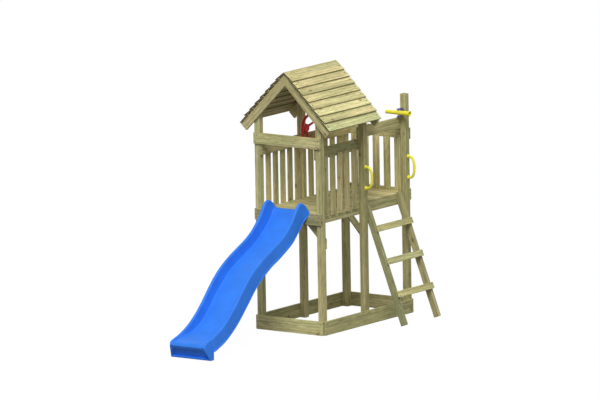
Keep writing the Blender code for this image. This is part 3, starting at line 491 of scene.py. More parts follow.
def board_row_tree():
    """A row of like boards, each made upright and then turned to lie where it belongs."""
    tree, given = group("board_row", "GeometryNodeTree", {
        "Geometry": "Geometry", "Width": "Float", "Thickness": "Float", "Length": "Float", "Ease": "Float",
        "Boards": "Int", "First": "Vector", "Step": "Vector", "Turn": "Rotation", "Seed": "Int",
        "Shade": "Float", "Timber": "Material"}, {"Geometry": "Geometry"})
    section = result(tree, "GeometryNodeCurvePrimitiveQuadrilateral", {
        0: given["Width"], 1: given["Thickness"]})
    rounded = result(tree, "GeometryNodeFilletCurve", {
        "Curve": section, "Count": 3, "Radius": given["Ease"]}, mode="POLY")
    flat = result(tree, "GeometryNodeFillCurve", {0: rounded}, mode="NGONS")
    length = result(tree, "ShaderNodeCombineXYZ", {2: given["Length"]})
    raised = result(tree, "GeometryNodeExtrudeMesh", {
        "Mesh": flat, "Offset": length, "Individual": False}, mode="FACES")
    closed = add_node(tree, "GeometryNodeJoinGeometry")
    for half in (result(tree, "GeometryNodeFlipFaces", {0: flat}), raised):
        feed(closed.inputs, {0: half})
    whole = result(tree, "GeometryNodeMergeByDistance", {
        "Geometry": Value(closed.outputs[0]), "Distance": MERGE})
    place = result(tree, "GeometryNodeInputPosition")
    facing = result(tree, "GeometryNodeInputNormal")
    held = stored(tree, whole, "grain", place, "FLOAT_VECTOR", "POINT")
    held = stored(tree, held, "facing", facing, "FLOAT_VECTOR", "FACE")
    row = result(tree, "GeometryNodeMeshLine", {
        "Count": given["Boards"], "Start Location": given["First"], "Offset": given["Step"]}, mode="OFFSET")
    placed = result(tree, "GeometryNodeInstanceOnPoints", {
        "Points": row, "Instance": held, "Rotation": given["Turn"]})
    chance = result(tree, "FunctionNodeRandomValue", {"Seed": given["Seed"]}, 1, data_type="FLOAT")
    told = stored(tree, placed, "board", chance, "FLOAT", "INSTANCE")
    told = stored(tree, told, "shade", given["Shade"], "FLOAT", "INSTANCE")
    real = result(tree, "GeometryNodeRealizeInstances", {0: told})
    painted = result(tree, "GeometryNodeSetMaterial", {"Geometry": real, "Material": given["Timber"]})
    add_node(tree, "NodeGroupOutput", {0: painted})
    return tree


def attribute(tree, name, output="Vector"):
    """What is stored on the mesh under a name."""
    return result(tree, "ShaderNodeAttribute", output=output, attribute_name=name)


BOARD_ROW = board_row_tree()
CUT_PINE = pine("pine_cut_boards", lambda tree: {
    "Grain": attribute(tree, "grain"), "Facing": attribute(tree, "facing"),
    "Board": attribute(tree, "board", "Fac"), "Pale": attribute(tree, "shade", "Fac")})


def as_shown(piece):
    """The mesh that an object's modifiers make."""
    bpy.context.view_layer.update()
    return bpy.data.meshes.new_from_object(piece.evaluated_get(bpy.context.evaluated_depsgraph_get()))


def grown(name, tree, values, start=None):
    """The plain mesh that a Geometry Nodes tree makes with the given values."""
    seed = put(f"{name}_start", start or bpy.data.meshes.new(f"{name}_start"))
    change = seed.modifiers.new("grow", "NODES")
    change.node_group = tree
    for item in tree.interface.items_tree:
        if item.item_type == "SOCKET" and item.in_out == "INPUT" and item.name in values:
            change[item.identifier] = values[item.name]
    made = as_shown(seed)
    bpy.data.objects.remove(seed, do_unlink=True)
    made.name = name
    return put(name, made)


def board_row(name, size, first, step=(0, 0, 0), boards=1, turn=(0, 0, 0), seed=1, shade=1.0):
    """One row of boards. The size is a board's width, thickness and length."""
    return grown(name, BOARD_ROW, {
        "Width": size[0], "Thickness": size[1], "Length": size[2], "Ease": EASE, "Boards": boards,
        "First": first, "Step": step, "Turn": turn, "Seed": seed, "Shade": shade, "Timber": CUT_PINE})


def joined(pieces, name):
    """Several pieces as one object."""
    for other in bpy.context.selected_objects:
        other.select_set(False)
    for piece in pieces:
        piece.select_set(True)
    bpy.context.view_layer.objects.active = pieces[0]
    bpy.ops.object.join()
    pieces[0].name = name
    return pieces[0]


def row_in(start, end, end_gap=None):
    """First edge and pitch of the pickets between two posts."""
    spare = end - start - PICKETS * PICKET_W
    gap = spare / (PICKETS + 1) if end_gap is None else end_gap
    return start + gap, PICKET_W + (spare - 2 * gap) / (PICKETS - 1)


screw_places = []                       # (place, outward direction, how far the head stands out)


def pair(at, spread, outward, proud=1.0):
    """Two screws, one each side of a point."""
    for sign in (-1, 1):
        screw_places.append((Vector(at) + Vector(spread) * sign, outward, proud))


middle_right, back_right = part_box("post_middle_right"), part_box("post_back_right")
front_y = front_left[0].y + POST
front_bay = (front_y, middle_right[0].y)
back_bay = (middle_right[1].y, back_right[0].y)
for side, sign, bays in (("left", -1, (front_bay, back_bay)), ("right", 1, (front_bay,))):
    low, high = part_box(f"wall_{side}")
    outer_x = low.x if sign < 0 else high.x
    rail_x = outer_x - sign * (PICKET_T + BOARD / 2)
    picket_x = outer_x - sign * PICKET_T / 2
    picket_top = high.z - RAIL_H + PICKET_HOLD
    rows = [board_row(f"wall_{side}_rail", (BOARD, RAIL_H, high.y - low.y),
                      (rail_x, low.y, high.z - RAIL_H / 2), turn=LAID_Y, seed=3 + sign)]
    for bay, (start, end) in enumerate(bays):
        edge, pitch = row_in(start, end)
        y = edge + PICKET_W / 2
        rows.append(board_row(
            f"wall_{side}_bay_{bay}", (PICKET_T, PICKET_W, picket_top - low.z), (picket_x, y, low.z),
            (0, pitch, 0), PICKETS, seed=11 + bay + sign, shade=PICKET_SHADE[side]))
        for number in range(PICKETS):
            for z in (picket_top - PICKET_HOLD / 2, low.z + FOOT_SCREW):
                pair((outer_x, y + number * pitch, z), Y * PICKET_W * INNER_SCREW, X * sign)
    wall = joined(rows, f"wall_{side}_boards")
    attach(wall, "tower")
    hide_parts(f"wall_{side}")

low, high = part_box("wall_back")
back_edge, back_pitch = row_in(front_left[1].x, front_right[0].x, BACK_END_GAP)
wall = joined([
    board_row("wall_back_rail", (RAIL_H, BOARD, high.x - low.x),
              (low.x, high.y - BOARD / 2, high.z - RAIL_H / 2), turn=LAID_X, seed=21, shade=BACK_RAIL_SHADE),
    board_row("wall_back_bay", (PICKET_W, PICKET_T, high.z - RAIL_H + PICKET_HOLD - low.z),
              (back_edge + PICKET_W / 2, high.y - BOARD - PICKET_T / 2, low.z), (back_pitch, 0, 0), PICKETS,
              seed=23, shade=PICKET_SHADE["back"]),
], "wall_back_boards")
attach(wall, "tower")
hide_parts("wall_back")

# The deck is twelve planks laid across the tower with narrow gaps, on the side joists and on a deeper
# bearer under their middle.
PLANK_PITCH = 0.125
PLANK_GAP = 0.005
PLANK_SHADE = 1.15                      # painted light that lifts the roof's shade on them
BEARER_W = 0.044
low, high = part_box("deck")
plank_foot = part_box("joist_right")[1].z + SEAT
planks = round((high.y - low.y + PLANK_GAP) / PLANK_PITCH)
plank_step = (high.y - low.y + PLANK_GAP) / planks
plank_w = plank_step - PLANK_GAP
bearer_y = front_y + SEAT + BOARD + SEAT
bearer_h = plank_foot - low.z
middle_x, bearer_z = (low.x + high.x) / 2, (low.z + plank_foot) / 2
deck = joined([
    board_row("deck_planks", (high.z - plank_foot, plank_w, high.x - low.x),
              (low.x, low.y + plank_w / 2, (plank_foot + high.z) / 2), (0, plank_step, 0), planks, LAID_X,
              seed=31, shade=PLANK_SHADE),
    board_row("deck_bearer", (BEARER_W, bearer_h, high.y - bearer_y), (middle_x, bearer_y, bearer_z),
              turn=LAID_Y, seed=33),
    board_row("deck_noggin", (BEARER_W, bearer_h, POST - 2 * SEAT), (middle_x, low.y + SEAT, bearer_z),
              turn=LAID_Y, seed=35),
], "deck_boards")
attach(deck, "tower")
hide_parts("deck")

# The slide is one moulded shell: a bed between two rounded side walls, with a skirt outside. Its horns
# stand up beside the entrance, its skirt flares out at the deck's edge, and it ends in a foot whose
# sunken front leans in. The curves are shares of the run and of the deck's height.
SLIDE_HALF = 0.212
SLIDE_HEM_HALF = 0.2265
SLIDE_FOOT_HALF = 0.2365
SLIDE_SHELL = 0.006
SLIDE_RIM = 0.034
SLIDE_BATTER = 0.014
SLIDE_HEAD = 0.036
SLIDE_EAR = 0.0335
SLIDE_LIP = 0.018
SLIDE_HORN = 0.100
SLIDE_FOOT_DEPTH = 0.118
SLIDE_NOSE = 0.120
SLIDE_TUCK = 0.064
SLIDE_SHOW = 0.002                      # the rim stands at least this far above the bed
SLOPE_STEP = 0.004                      # the bed's slope is taken this far each way
THICKEST = 2.2                          # on steep stretches the shell is this much thicker at most
FOOT_FLARE = 0.11
EAR_LENGTH = 0.060
EAR_AHEAD = 0.4
EAR_CURVE = 1.6
LIP_PULL = 0.04
LIP_DEPTH = 0.02
LIP_HEIGHT = 0.12
LAP_STEP = 0.0004
HEM_OUT = 0.0035                        # the rolled edge of the skirt
HEM_H = 0.011
PANEL_DEPTH = 0.026                     # the sunken front of the foot
PANEL_LOW, PANEL_HIGH = 0.012, 0.112
PANEL_HALF_LOW, PANEL_HALF_HIGH = 0.226, 0.186
PANEL_EDGE = 0.034                      # its top curves in softly, its sides and foot more sharply
PANEL_SIDE_EDGE = 0.020
PANEL_FOOT_EDGE = 0.008
BED_ON_DECK = ((1.00, SLIDE_LIP), (0.15, SLIDE_LIP))
BED_RUN = (
    (0.002, 1.007), (0.022, 0.960), (0.050, 0.918), (0.0765, 0.883), (0.135, 0.818), (0.194, 0.7665),
    (0.281, 0.704), (0.398, 0.627), (0.457, 0.5785), (0.515, 0.5095), (0.574, 0.4355), (0.633, 0.352),
    (0.691, 0.2735), (0.7495, 0.2165), (0.808, 0.184), (0.867, 0.164), (0.925, 0.149), (0.972, 0.138),
    (0.990, 0.128), (1.0, 0.107),
)
RIM_ON_DECK = ((1.00, SLIDE_LIP + 0.012), (0.55, SLIDE_HORN * 0.52), (0.10, SLIDE_HORN * 0.70))
RIM_RUN = (
    (0.006, 1.076), (0.030, 1.0890), (0.053, 1.081), (0.0765, 1.048), (0.111, 0.981), (0.135, 0.942),
    (0.182, 0.880), (0.252, 0.817), (0.340, 0.759), (0.3985, 0.7205), (0.457, 0.6765), (0.515, 0.6245),
    (0.574, 0.5565), (0.633, 0.4725), (0.691, 0.3875), (0.7495, 0.312), (0.808, 0.251), (0.867, 0.2045),
    (0.925, 0.1705), (0.967, 0.153), (0.990, 0.136), (1.0, 0.111),
)
SKIRT_RUN = (
    (0.0065, 0.965), (0.0472, 0.904), (0.106, 0.820), (0.135, 0.784), (0.194, 0.734), (0.281, 0.6725),
    (0.340, 0.636), (0.3985, 0.5895), (0.457, 0.5375), (0.515, 0.4705), (0.574, 0.387), (0.633, 0.3055),
    (0.691, 0.2315), (0.7495, 0.171), (0.808, 0.120), (0.867, 0.085), (0.910, 0.0675), (1.0, 0.061),
)
deck_top = high.z
joist_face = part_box("joist_front")[0].y - tower_origin.y
slide_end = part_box("slide")[0].y - tower_origin.y
slide_run = joist_face - slide_end
foot_start = slide_end + SLIDE_FOOT_DEPTH
front_wall = slide_end + SLIDE_SHELL + PANEL_DEPTH


def slide_line(on_deck, run):
    """Points (y, z) of one of the curves, from the head to the foot."""
    points = [(share * SLIDE_HEAD, deck_top + rise) for share, rise in on_deck]
    return points + [(joist_face - share * slide_run, height * deck_top) for share, height in run]


BED_LINE = slide_line(BED_ON_DECK, BED_RUN)
RIM_LINE = slide_line(RIM_ON_DECK, RIM_RUN)
SKIRT_LINE = slide_line((), SKIRT_RUN)


def curve_through(points, y):
    """Height at y on a smooth curve through the points, which run towards -Y."""
    last = len(points) - 1
    k = next((k for k in range(last) if y >= points[k + 1][0]), last - 1)
    (y0, z0), (y1, z1) = points[k], points[k + 1]
    before, after = points[max(k - 1, 0)], points[min(k + 2, last)]
    span = y1 - y0
    t = min(max((y - y0) / span, 0.0), 1.0)
    slope0 = (z1 - before[1]) / (y1 - before[0]) * span
    slope1 = (after[1] - z0) / (after[0] - y0) * span
    square, cube = t * t, t * t * t
    return ((2 * cube - 3 * square + 1) * z0 + (cube - 2 * square + t) * slope0
            + (3 * square - 2 * cube) * z1 + (cube - square) * slope1)


def eased(t):
    """A smooth step from 0 to 1."""
    t = min(max(t, 0.0), 1.0)
    return t * t * (3 - 2 * t)


def evenly(start, end, steps):
    """Values from the start to the end, both counted."""
    return [start + (end - start) * k / steps for k in range(steps + 1)]


def ear(y):
    """How far the skirt stands out beside the side wall."""
    if y > joist_face:
        return SLIDE_EAR * eased((SLIDE_HEAD - y) / (SLIDE_HEAD - joist_face))
    return SLIDE_EAR * EAR_AHEAD * eased((y - joist_face + EAR_LENGTH) / EAR_LENGTH)


WALL_POINTS = 9
RIM_POINTS = 12
CORNER_POINTS = 6
BED_POINTS = 14
CORNER = 0.014                          # radius between a side wall and the bed
CORNER_SQUEEZE = 0.8                    # its width as a share of its height
CORNER_OUT = 0.004


def slide_section(y, skirt_z, floor_z):
    """Half of a section, from the skirt's lower edge to the middle of the bed: upper and lower points."""
    bed = curve_through(BED_LINE, y)
    rim = max(curve_through(RIM_LINE, y), bed + SLIDE_SHOW)
    drop = curve_through(BED_LINE, y - SLOPE_STEP) - curve_through(BED_LINE, y + SLOPE_STEP)
    thick = SLIDE_SHELL * min(math.hypot(1.0, drop / (2 * SLOPE_STEP)), THICKEST)
    if y >= joist_face:
        thick = min(thick, bed - deck_top - SEAT - 0.001)
    foot_share = eased((foot_start + FOOT_FLARE - y) / FOOT_FLARE)
    hem_x = SLIDE_HEM_HALF + (SLIDE_FOOT_HALF - SLIDE_HEM_HALF) * foot_share
    round_z = min(SLIDE_RIM / 2, (rim - skirt_z) / 2, rim - bed)
    crown_x = SLIDE_HALF - SLIDE_RIM / 2
    crown_z = rim - round_z
    hem = HEM_OUT if y < joist_face and skirt_z > 0.0 else 0.0
    upper, lower = [], []

    # The side wall from its hem up, and over the rounded rim
    for k in range(WALL_POINTS):
        share = k / WALL_POINTS
        z = skirt_z + (crown_z - skirt_z) * share
        rolled = hem * math.sqrt(max(1.0 - ((z - skirt_z - HEM_H / 2) / (HEM_H / 2)) ** 2, 0.0))
        if k in (1, 2) and hem:
            z = min(skirt_z + HEM_H * k / 2, crown_z)
            rolled = hem * (2 - k)
        x = SLIDE_HALF + ear(y) * (1.0 - share) ** EAR_CURVE + (hem_x - SLIDE_HALF) * (1.0 - share)
        upper.append((x + rolled, z))
        lower.append((x - SLIDE_SHELL, z))
    for turn in evenly(0.0, math.pi, RIM_POINTS):
        across, rise = math.cos(turn), math.sin(turn)
        upper.append((crown_x + across * SLIDE_RIM / 2, crown_z + rise * round_z))
        under_x = crown_x + across * (SLIDE_RIM / 2 - SLIDE_SHELL)
        lower.append((under_x, max(crown_z + rise * (round_z - thick), skirt_z)))

    # Down the rounded corner and over the flat bed
    corner = min(CORNER, rim - bed)
    corner_x = SLIDE_HALF - SLIDE_RIM - SLIDE_BATTER + CORNER_OUT
    top_x, top_z = upper[-1]
    for k in range(1, CORNER_POINTS + 1):
        turn = math.pi / 2 * k / CORNER_POINTS
        x = min(corner_x - corner * CORNER_SQUEEZE * (1 - math.cos(turn)), top_x)
        z = min(bed + corner * (1 - math.sin(turn)), top_z)
        upper.append((x, z))
        lower.append((x + SLIDE_SHELL * (1 - k / CORNER_POINTS), z - thick))
    for x in evenly(upper[-1][0], 0.0, BED_POINTS)[1:]:
        upper.append((x, bed))
        lower.append((x, bed - thick))
    pull = LIP_PULL * eased((slide_end + LIP_DEPTH - y) / LIP_DEPTH)
    upper = [(x * (1 - pull * min(z / LIP_HEIGHT, 1.0)), z) for x, z in upper]
    if floor_z is not None:
        lower = [(x, floor_z) for x in evenly(lower[0][0], 0.0, len(lower) - 1)]
    return upper, lower


def slide_ring(bm, y, skirt_z, floor_z=None):
    """One closed ring of the shell, or of a cross wall that stands on the floor given."""
    upper, lower = slide_section(y, skirt_z, floor_z)
    top = upper + [(-x, z) for x, z in reversed(upper[:-1])]
    under = lower + [(-x, z) for x, z in reversed(lower[:-1])]
    place = Vector((tower_origin.x, tower_origin.y + y, 0.0))
    tuck = SLIDE_TUCK * min(max((foot_start - y) / (foot_start - front_wall), 0.0), 1.0)
    return [bm.verts.new(place + Vector((x, tuck * max(1.0 - z / SLIDE_NOSE, 0.0), z)))
            for x, z in top + under[::-1]]


def bridge(bm, ring, following):
    """Faces between two rings. Either of them may be a single point."""
    for k in range(max(len(ring), len(following))):
        corners = [part[at % len(part)] for part, at in (
            (ring, k), (ring, k + 1), (following, k + 1), (following, k))]
        bm.faces.new(list(dict.fromkeys(corners)))


def panel_depth(x, z):
    """How far the foot's front is sunk at a point."""
    share = (z - PANEL_LOW) / (PANEL_HIGH - PANEL_LOW)
    half = PANEL_HALF_LOW + (PANEL_HALF_HIGH - PANEL_HALF_LOW) * share
    top = eased((PANEL_HIGH - z) / PANEL_EDGE)
    side = eased((half - abs(x)) / PANEL_SIDE_EDGE)
    return PANEL_DEPTH * top * side * eased((z - PANEL_LOW) / PANEL_FOOT_EDGE)


DECK_STATIONS = 12
STATIONS = 96
LIP_STATIONS = 9
FRONT_ROWS = 30
SKIRT_BELOW_BED = 0.012                 # the skirt reaches at least this far below the bed
slide_mesh = bmesh.new()
on_deck = deck_top + SEAT
rear_wall = SLIDE_HEAD - SLIDE_SHELL
rings = [slide_ring(slide_mesh, y, on_deck, on_deck) for y in (SLIDE_HEAD, rear_wall)]
for y in evenly(rear_wall - LAP_STEP, joist_face, DECK_STATIONS):
    rings.append(slide_ring(slide_mesh, y, on_deck))
for y in evenly(joist_face - SEAT - LAP_STEP, foot_start + LAP_STEP, STATIONS):
    skirt_z = min(curve_through(SKIRT_LINE, y), curve_through(BED_LINE, y) - SKIRT_BELOW_BED)
    rings.append(slide_ring(slide_mesh, y, skirt_z))
for y in evenly(foot_start, front_wall + LAP_STEP, LIP_STATIONS):
    rings.append(slide_ring(slide_mesh, y, 0.0))
for y in evenly(front_wall, slide_end, LIP_STATIONS):
    rings.append(slide_ring(slide_mesh, y, 0.0, 0.0))
for ring, following in zip(rings, rings[1:]):
    bridge(slide_mesh, ring, following)

# The rear end is flat, and the front end is a grid with the sunken panel
head, front = rings[0], rings[-1]
around = len(head)
columns = []
for k in range(around // 2):
    if k:
        slide_mesh.faces.new((head[k - 1], head[k], head[around - 1 - k], head[around - k]))
    top_vert, foot_vert = front[k], front[around - 1 - k]
    column = [top_vert]
    for row in range(1, FRONT_ROWS if 0 < k < around // 2 - 1 else 1):
        place = top_vert.co.lerp(foot_vert.co, row / FRONT_ROWS)
        sunk = panel_depth(place.x - tower_origin.x, place.z)
        column.append(slide_mesh.verts.new(place + Y * sunk))
    columns.append(column + [foot_vert])
for column, following in zip(columns, columns[1:]):
    if len(column) != len(following):
        slide_mesh.faces.new(column + following[::-1])
        continue
    for row in range(FRONT_ROWS):
        slide_mesh.faces.new((column[row], following[row], following[row + 1], column[row + 1]))
bmesh.ops.remove_doubles(slide_mesh, verts=slide_mesh.verts, dist=2 * MERGE)
bmesh.ops.dissolve_degenerate(slide_mesh, edges=slide_mesh.edges, dist=MERGE)


def shaped(name, bm, material, body, node, smooth=45):
    """Turns a bmesh into a smooth piece that rides on a body and stands for a CAD node."""
    bmesh.ops.recalc_face_normals(bm, faces=bm.faces)
    piece = put(name, meshed(name, bm))
    piece.data.materials.append(material)
    piece.data.shade_smooth()
    piece.data.set_sharp_from_angle(angle=math.radians(smooth))
    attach(piece, body)
    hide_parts(node)
    return piece


def moulded(name, color, worn, roughness, scuff=(1.0, 1.0, 1.0), shine=0.3):
    """Coloured plastic: faint mottling, a fine moulded skin, and scuffs drawn out along one way."""
    material, tree, shader = new_material(name)
    place = result(tree, "ShaderNodeTexCoord", output="Object")
    mottle = noise(place, 7.0, 3.0)
    skin = noise(place, 900.0)
    scratch = noise(place, 160.0, 4.0, scuff, 0.65)
    worn_here = ramp(scratch, 0.56, 0.74) * ramp(mottle, 0.40, 0.65)
    body = blended(ramp(mottle, 0.30, 0.70), tint(color, 0.90), (*color, 1.0))
    body = blended(worn_here * 0.22, body, (*worn, 1.0))
    rough = worn_here * 0.22 + (skin * 0.10 + (roughness - 0.05))
    height = scratch * 0.25 + skin * 0.6
    relief = result(tree, "ShaderNodeBump", {"Height": height, "Strength": 0.25, "Distance": 0.0004})
    feed(shader, {"Base Color": body, "Roughness": rough, "Normal": relief, "Specular IOR Level": shine})
    return material


SLIDE_BLUE = moulded("slide_blue", (0.038, 0.226, 0.87), (0.10, 0.33, 0.92), 0.46, (1.0, 0.06, 0.10), 0.16)
shaped("slide_shell", slide_mesh, SLIDE_BLUE, "tower", "slide")

# The handgrips are moulded yellow bows, one on each post beside the ladder. Each foot is a round flange
# with two small screws.
GRIP_SPAN = 0.210
GRIP_BOW = 0.076
GRIP_R = 0.0130
GRIP_FOOT_R = 0.021
GRIP_FOOT_T = 0.007
GRIP_RISE = 0.2550
GRIP_STEPS = 72
GRIP_SIDES, GRIP_FOOT_SIDES = 24, 32
GRIP_START = 0.002                      # the bow starts inside its flanges
GRIP_FULL_OUT, GRIP_FULL_UP = 0.62, 0.85  # the lower, the squarer the bow
GRIP_SCREW = 0.0168
GRIP_SCREW_PROUD = 0.45
GRIP_FLANGE = (                         # (distance from the post, radius)
    (0.0, GRIP_FOOT_R - 0.0008), (0.0008, GRIP_FOOT_R), (0.0046, GRIP_FOOT_R), (0.0062, GRIP_FOOT_R - 0.0008),
    (GRIP_FOOT_T, GRIP_FOOT_R - 0.0026), (0.0074, GRIP_R + 0.0030), (0.0084, GRIP_R + 0.0014),
    (0.0102, GRIP_R + 0.0004),
)


def ring_of(bm, centre, one, two, radius, sides):
    """A ring of points that starts in one direction and turns to the other."""
    return [bm.verts.new(centre + (one * math.cos(turn) + two * math.sin(turn)) * radius)
            for turn in evenly(0.0, 2 * math.pi, sides)[:-1]]


def tube_along(bm, centres, radii, sides, across):
    """A closed tube round the centres, its rings square to the path and started from the across direction."""
    rings = []
    for k, (centre, radius) in enumerate(zip(centres, radii)):
        ahead = centres[min(k + 1, len(centres) - 1)] - centres[max(k - 1, 0)]
        rings.append(ring_of(bm, centre, across, ahead.normalized().cross(across), radius, sides))
    for ring, following in zip(rings, rings[1:]):
        bridge(bm, ring, following)
    bm.faces.new(rings[0][::-1])
    bm.faces.new(rings[-1])


YELLOW = moulded("grip_yellow", (0.95, 0.88, 0.060), (0.95, 0.92, 0.30), 0.36)
for row, post in (("middle", middle_right), ("back", back_right)):
    foot_at = Vector((post[1].x + SEAT, (post[0].y + post[1].y) / 2, deck_top + GRIP_RISE))
    grip_mesh = bmesh.new()
    for sign in (1, -1):
        foot = foot_at + Z * (sign * GRIP_SPAN / 2)
        ends = [foot + X * out for out, _ in GRIP_FLANGE]
        tube_along(grip_mesh, ends, [radius for _, radius in GRIP_FLANGE], GRIP_FOOT_SIDES, Y)
        pair(foot + X * GRIP_FOOT_T, Y * GRIP_SCREW, X, GRIP_SCREW_PROUD)
    centres = []
    for k, angle in enumerate(evenly(-math.pi / 2, math.pi / 2, GRIP_STEPS)):
        reach = math.cos(angle) ** GRIP_FULL_OUT if 0 < k < GRIP_STEPS else 0.0
        rise = math.copysign(abs(math.sin(angle)) ** GRIP_FULL_UP, angle)
        out = GRIP_START + (GRIP_BOW - GRIP_START) * reach
        centres.append(foot_at + X * out + Z * (GRIP_SPAN / 2 * rise))
    tube_along(grip_mesh, centres, [GRIP_R] * len(centres), GRIP_SIDES, Y)
    shaped(f"handgrip_{row}_bow", grip_mesh, YELLOW, "tower", f"handgrip_{row}")

# The steering wheel turns on a pin that stands on a round plate on the left middle post. It is dished,
# with a round rim, three spokes that thicken to the hub, and a domed cap.
WHEEL_R = 0.150
WHEEL_TUBE = 0.0135
WHEEL_DISH = 0.0747
WHEEL_HUB_R = 0.040
WHEEL_HUB_L = 0.030
WHEEL_PLATE_R = 0.045
WHEEL_PLATE_T = 0.012
WHEEL_PIN_R = 0.008
WHEEL_CAP_T = 0.008
WHEEL_RIM_SIDES = 120
WHEEL_TUBE_SIDES = 20
WHEEL_HUB_SIDES = 72
WHEEL_PLATE_SIDES = 64
SPOKES = 3
SPOKE_STEPS = 18
SPOKE_SIDES = 20
SPOKE_SUNK = 0.012                      # how far a spoke starts inside the hub
SPOKE_HEIGHT = 0.55                     # where it starts, as a share of the hub's length
SPOKE_R = 0.01122
SPOKE_TAPER = 0.00143                   # how much thinner it is at the rim
HUB_SWELL, HUB_SWELL_END = 0.0030, 0.35  # how much thicker it is at the hub, and up to where
RIM_SWELL, RIM_SWELL_START = 0.0022, 0.72
FIRST_SPOKE = 30                        # degrees
RUN = 0.0001                            # the play of a pin in its bore


def turned(bm, profile, axis, centre, sides):
    """A body turned round an axis through the centre, from (distance along, radius) points."""
    one = Z if abs(axis.z) < 0.5 else X
    rings = []
    for distance, radius in profile:
        at = centre + axis * distance
        rings.append(ring_of(bm, at, one, axis.cross(one), radius, sides if radius else 1))
    for ring, following in zip(rings, rings[1:]):
        bridge(bm, ring, following)


RED = moulded("wheel_red", (0.90, 0.045, 0.050), (0.92, 0.25, 0.24), 0.28)
mount_low, mount_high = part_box("wheel_mount")
wheel_centre = (mount_low + mount_high) / 2
wheel_centre.x = mount_low.x
pin_end = WHEEL_PLATE_T + SEAT + WHEEL_HUB_L - WHEEL_CAP_T
mount_mesh = bmesh.new()
turned(mount_mesh, [
    (0.0, 0.0), (0.0, WHEEL_PLATE_R), (WHEEL_PLATE_T - 0.0035, WHEEL_PLATE_R),
    (WHEEL_PLATE_T - 0.0012, WHEEL_PLATE_R - 0.0012), (WHEEL_PLATE_T, WHEEL_PLATE_R - 0.0035),
    (WHEEL_PLATE_T, WHEEL_PIN_R), (pin_end - 0.001, WHEEL_PIN_R), (pin_end, WHEEL_PIN_R - 0.001),
    (pin_end, 0.0)], X, wheel_centre, WHEEL_PLATE_SIDES)
shaped("wheel_plate", mount_mesh, RED, "tower", "wheel_mount", smooth=30)

hub_back = WHEEL_PLATE_T + SEAT
hub_front = hub_back + WHEEL_HUB_L
bore_end = pin_end + SEAT
wheel_mesh = bmesh.new()
turned(wheel_mesh, [
    (bore_end, 0.0), (bore_end, WHEEL_PIN_R + RUN), (hub_back, WHEEL_PIN_R + RUN),
    (hub_back, WHEEL_HUB_R - 0.001), (hub_back + 0.001, WHEEL_HUB_R), (hub_front - 0.0065, WHEEL_HUB_R),
    (hub_front - 0.0040, WHEEL_HUB_R - 0.0014), (hub_front - 0.0028, WHEEL_HUB_R - 0.0045),
    (hub_front - 0.0034, WHEEL_HUB_R - 0.0065), (hub_front - 0.0034, WHEEL_HUB_R - 0.0078),
    (hub_front - 0.0020, WHEEL_HUB_R - 0.0098), (hub_front - 0.0010, WHEEL_HUB_R - 0.0160),
    (hub_front - 0.0003, WHEEL_HUB_R - 0.0260), (hub_front, 0.0)], X, wheel_centre, WHEEL_HUB_SIDES)
rim_radius = WHEEL_R - WHEEL_TUBE
rim_centre = wheel_centre + X * WHEEL_DISH
rings = []
for turn in evenly(0.0, 2 * math.pi, WHEEL_RIM_SIDES)[:-1]:
    outward = Y * math.cos(turn) + Z * math.sin(turn)
    at = rim_centre + outward * rim_radius
    rings.append(ring_of(wheel_mesh, at, outward, X, WHEEL_TUBE, WHEEL_TUBE_SIDES))
for ring, following in zip(rings, rings[1:] + rings[:1]):
    bridge(wheel_mesh, ring, following)
for number in range(SPOKES):
    turn = math.radians(FIRST_SPOKE + 360 / SPOKES * number)
    outward = Y * math.cos(turn) + Z * math.sin(turn)
    start = wheel_centre + X * (hub_back + WHEEL_HUB_L * SPOKE_HEIGHT) + outward * (WHEEL_HUB_R - SPOKE_SUNK)
    end = rim_centre + outward * rim_radius
    centres, radii = [], []
    for share in evenly(0.0, 1.0, SPOKE_STEPS):
        at_hub = HUB_SWELL * (1 - eased(share / HUB_SWELL_END))
        at_rim = RIM_SWELL * eased((share - RIM_SWELL_START) / (1 - RIM_SWELL_START))
        centres.append(start.lerp(end, share))
        radii.append(SPOKE_R - SPOKE_TAPER * share + at_hub + at_rim)
    tube_along(wheel_mesh, centres, radii, SPOKE_SIDES, outward.cross(X))
shaped("steering_wheel_moulding", wheel_mesh, RED, "wheel", "steering_wheel", smooth=40)

# The telescope stands on the back post: a purple base plate, a purple fork that turns on its pin, and a
# yellow tube held between the fork's arms. The tube is open right through.
SCOPE_STAND = 0.064
SCOPE_EYE = -0.152
SCOPE_FRONT = 0.132
SCOPE_EYE_R = 0.0185
SCOPE_FRONT_R = 0.0265
SCOPE_WALL = 0.003
SCOPE_ARM_T = 0.015
SCOPE_ARM_HALF = 0.012
SCOPE_ARM_Z = 0.0275
SCOPE_ARM_END = -0.020
SCOPE_BASE = 0.052
SCOPE_BASE_T = 0.006
SCOPE_BASE_SCREW = 0.019
SCOPE_WEB_T = 0.012
SCOPE_PIN_R = 0.006
SCOPE_BOSS_R = 0.009
SCOPE_TRUNNION_R = 0.004
SCOPE_HOOD = 0.018
SCOPE_HOOD_STEP = 0.003
SCOPE_BANDS = (-0.078, 0.070)
SCOPE_SIDES, BASE_PIN_SIDES, BOSS_SIDES = 64, 40, 32
BASE_EASE, FORK_EASE = 0.002, 0.0012
PURPLE = moulded("bracket_purple", (0.165, 0.120, 0.340), (0.32, 0.27, 0.48), 0.40)
base_low, base_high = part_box("telescope_base")
pivot = (base_low + base_high) / 2
pivot.y = base_high.y + SEAT - SCOPE_STAND
base_back = SCOPE_STAND - SEAT
base_front = base_back - SCOPE_BASE_T
web_back = base_front - SEAT
web_front = web_back - SCOPE_WEB_T

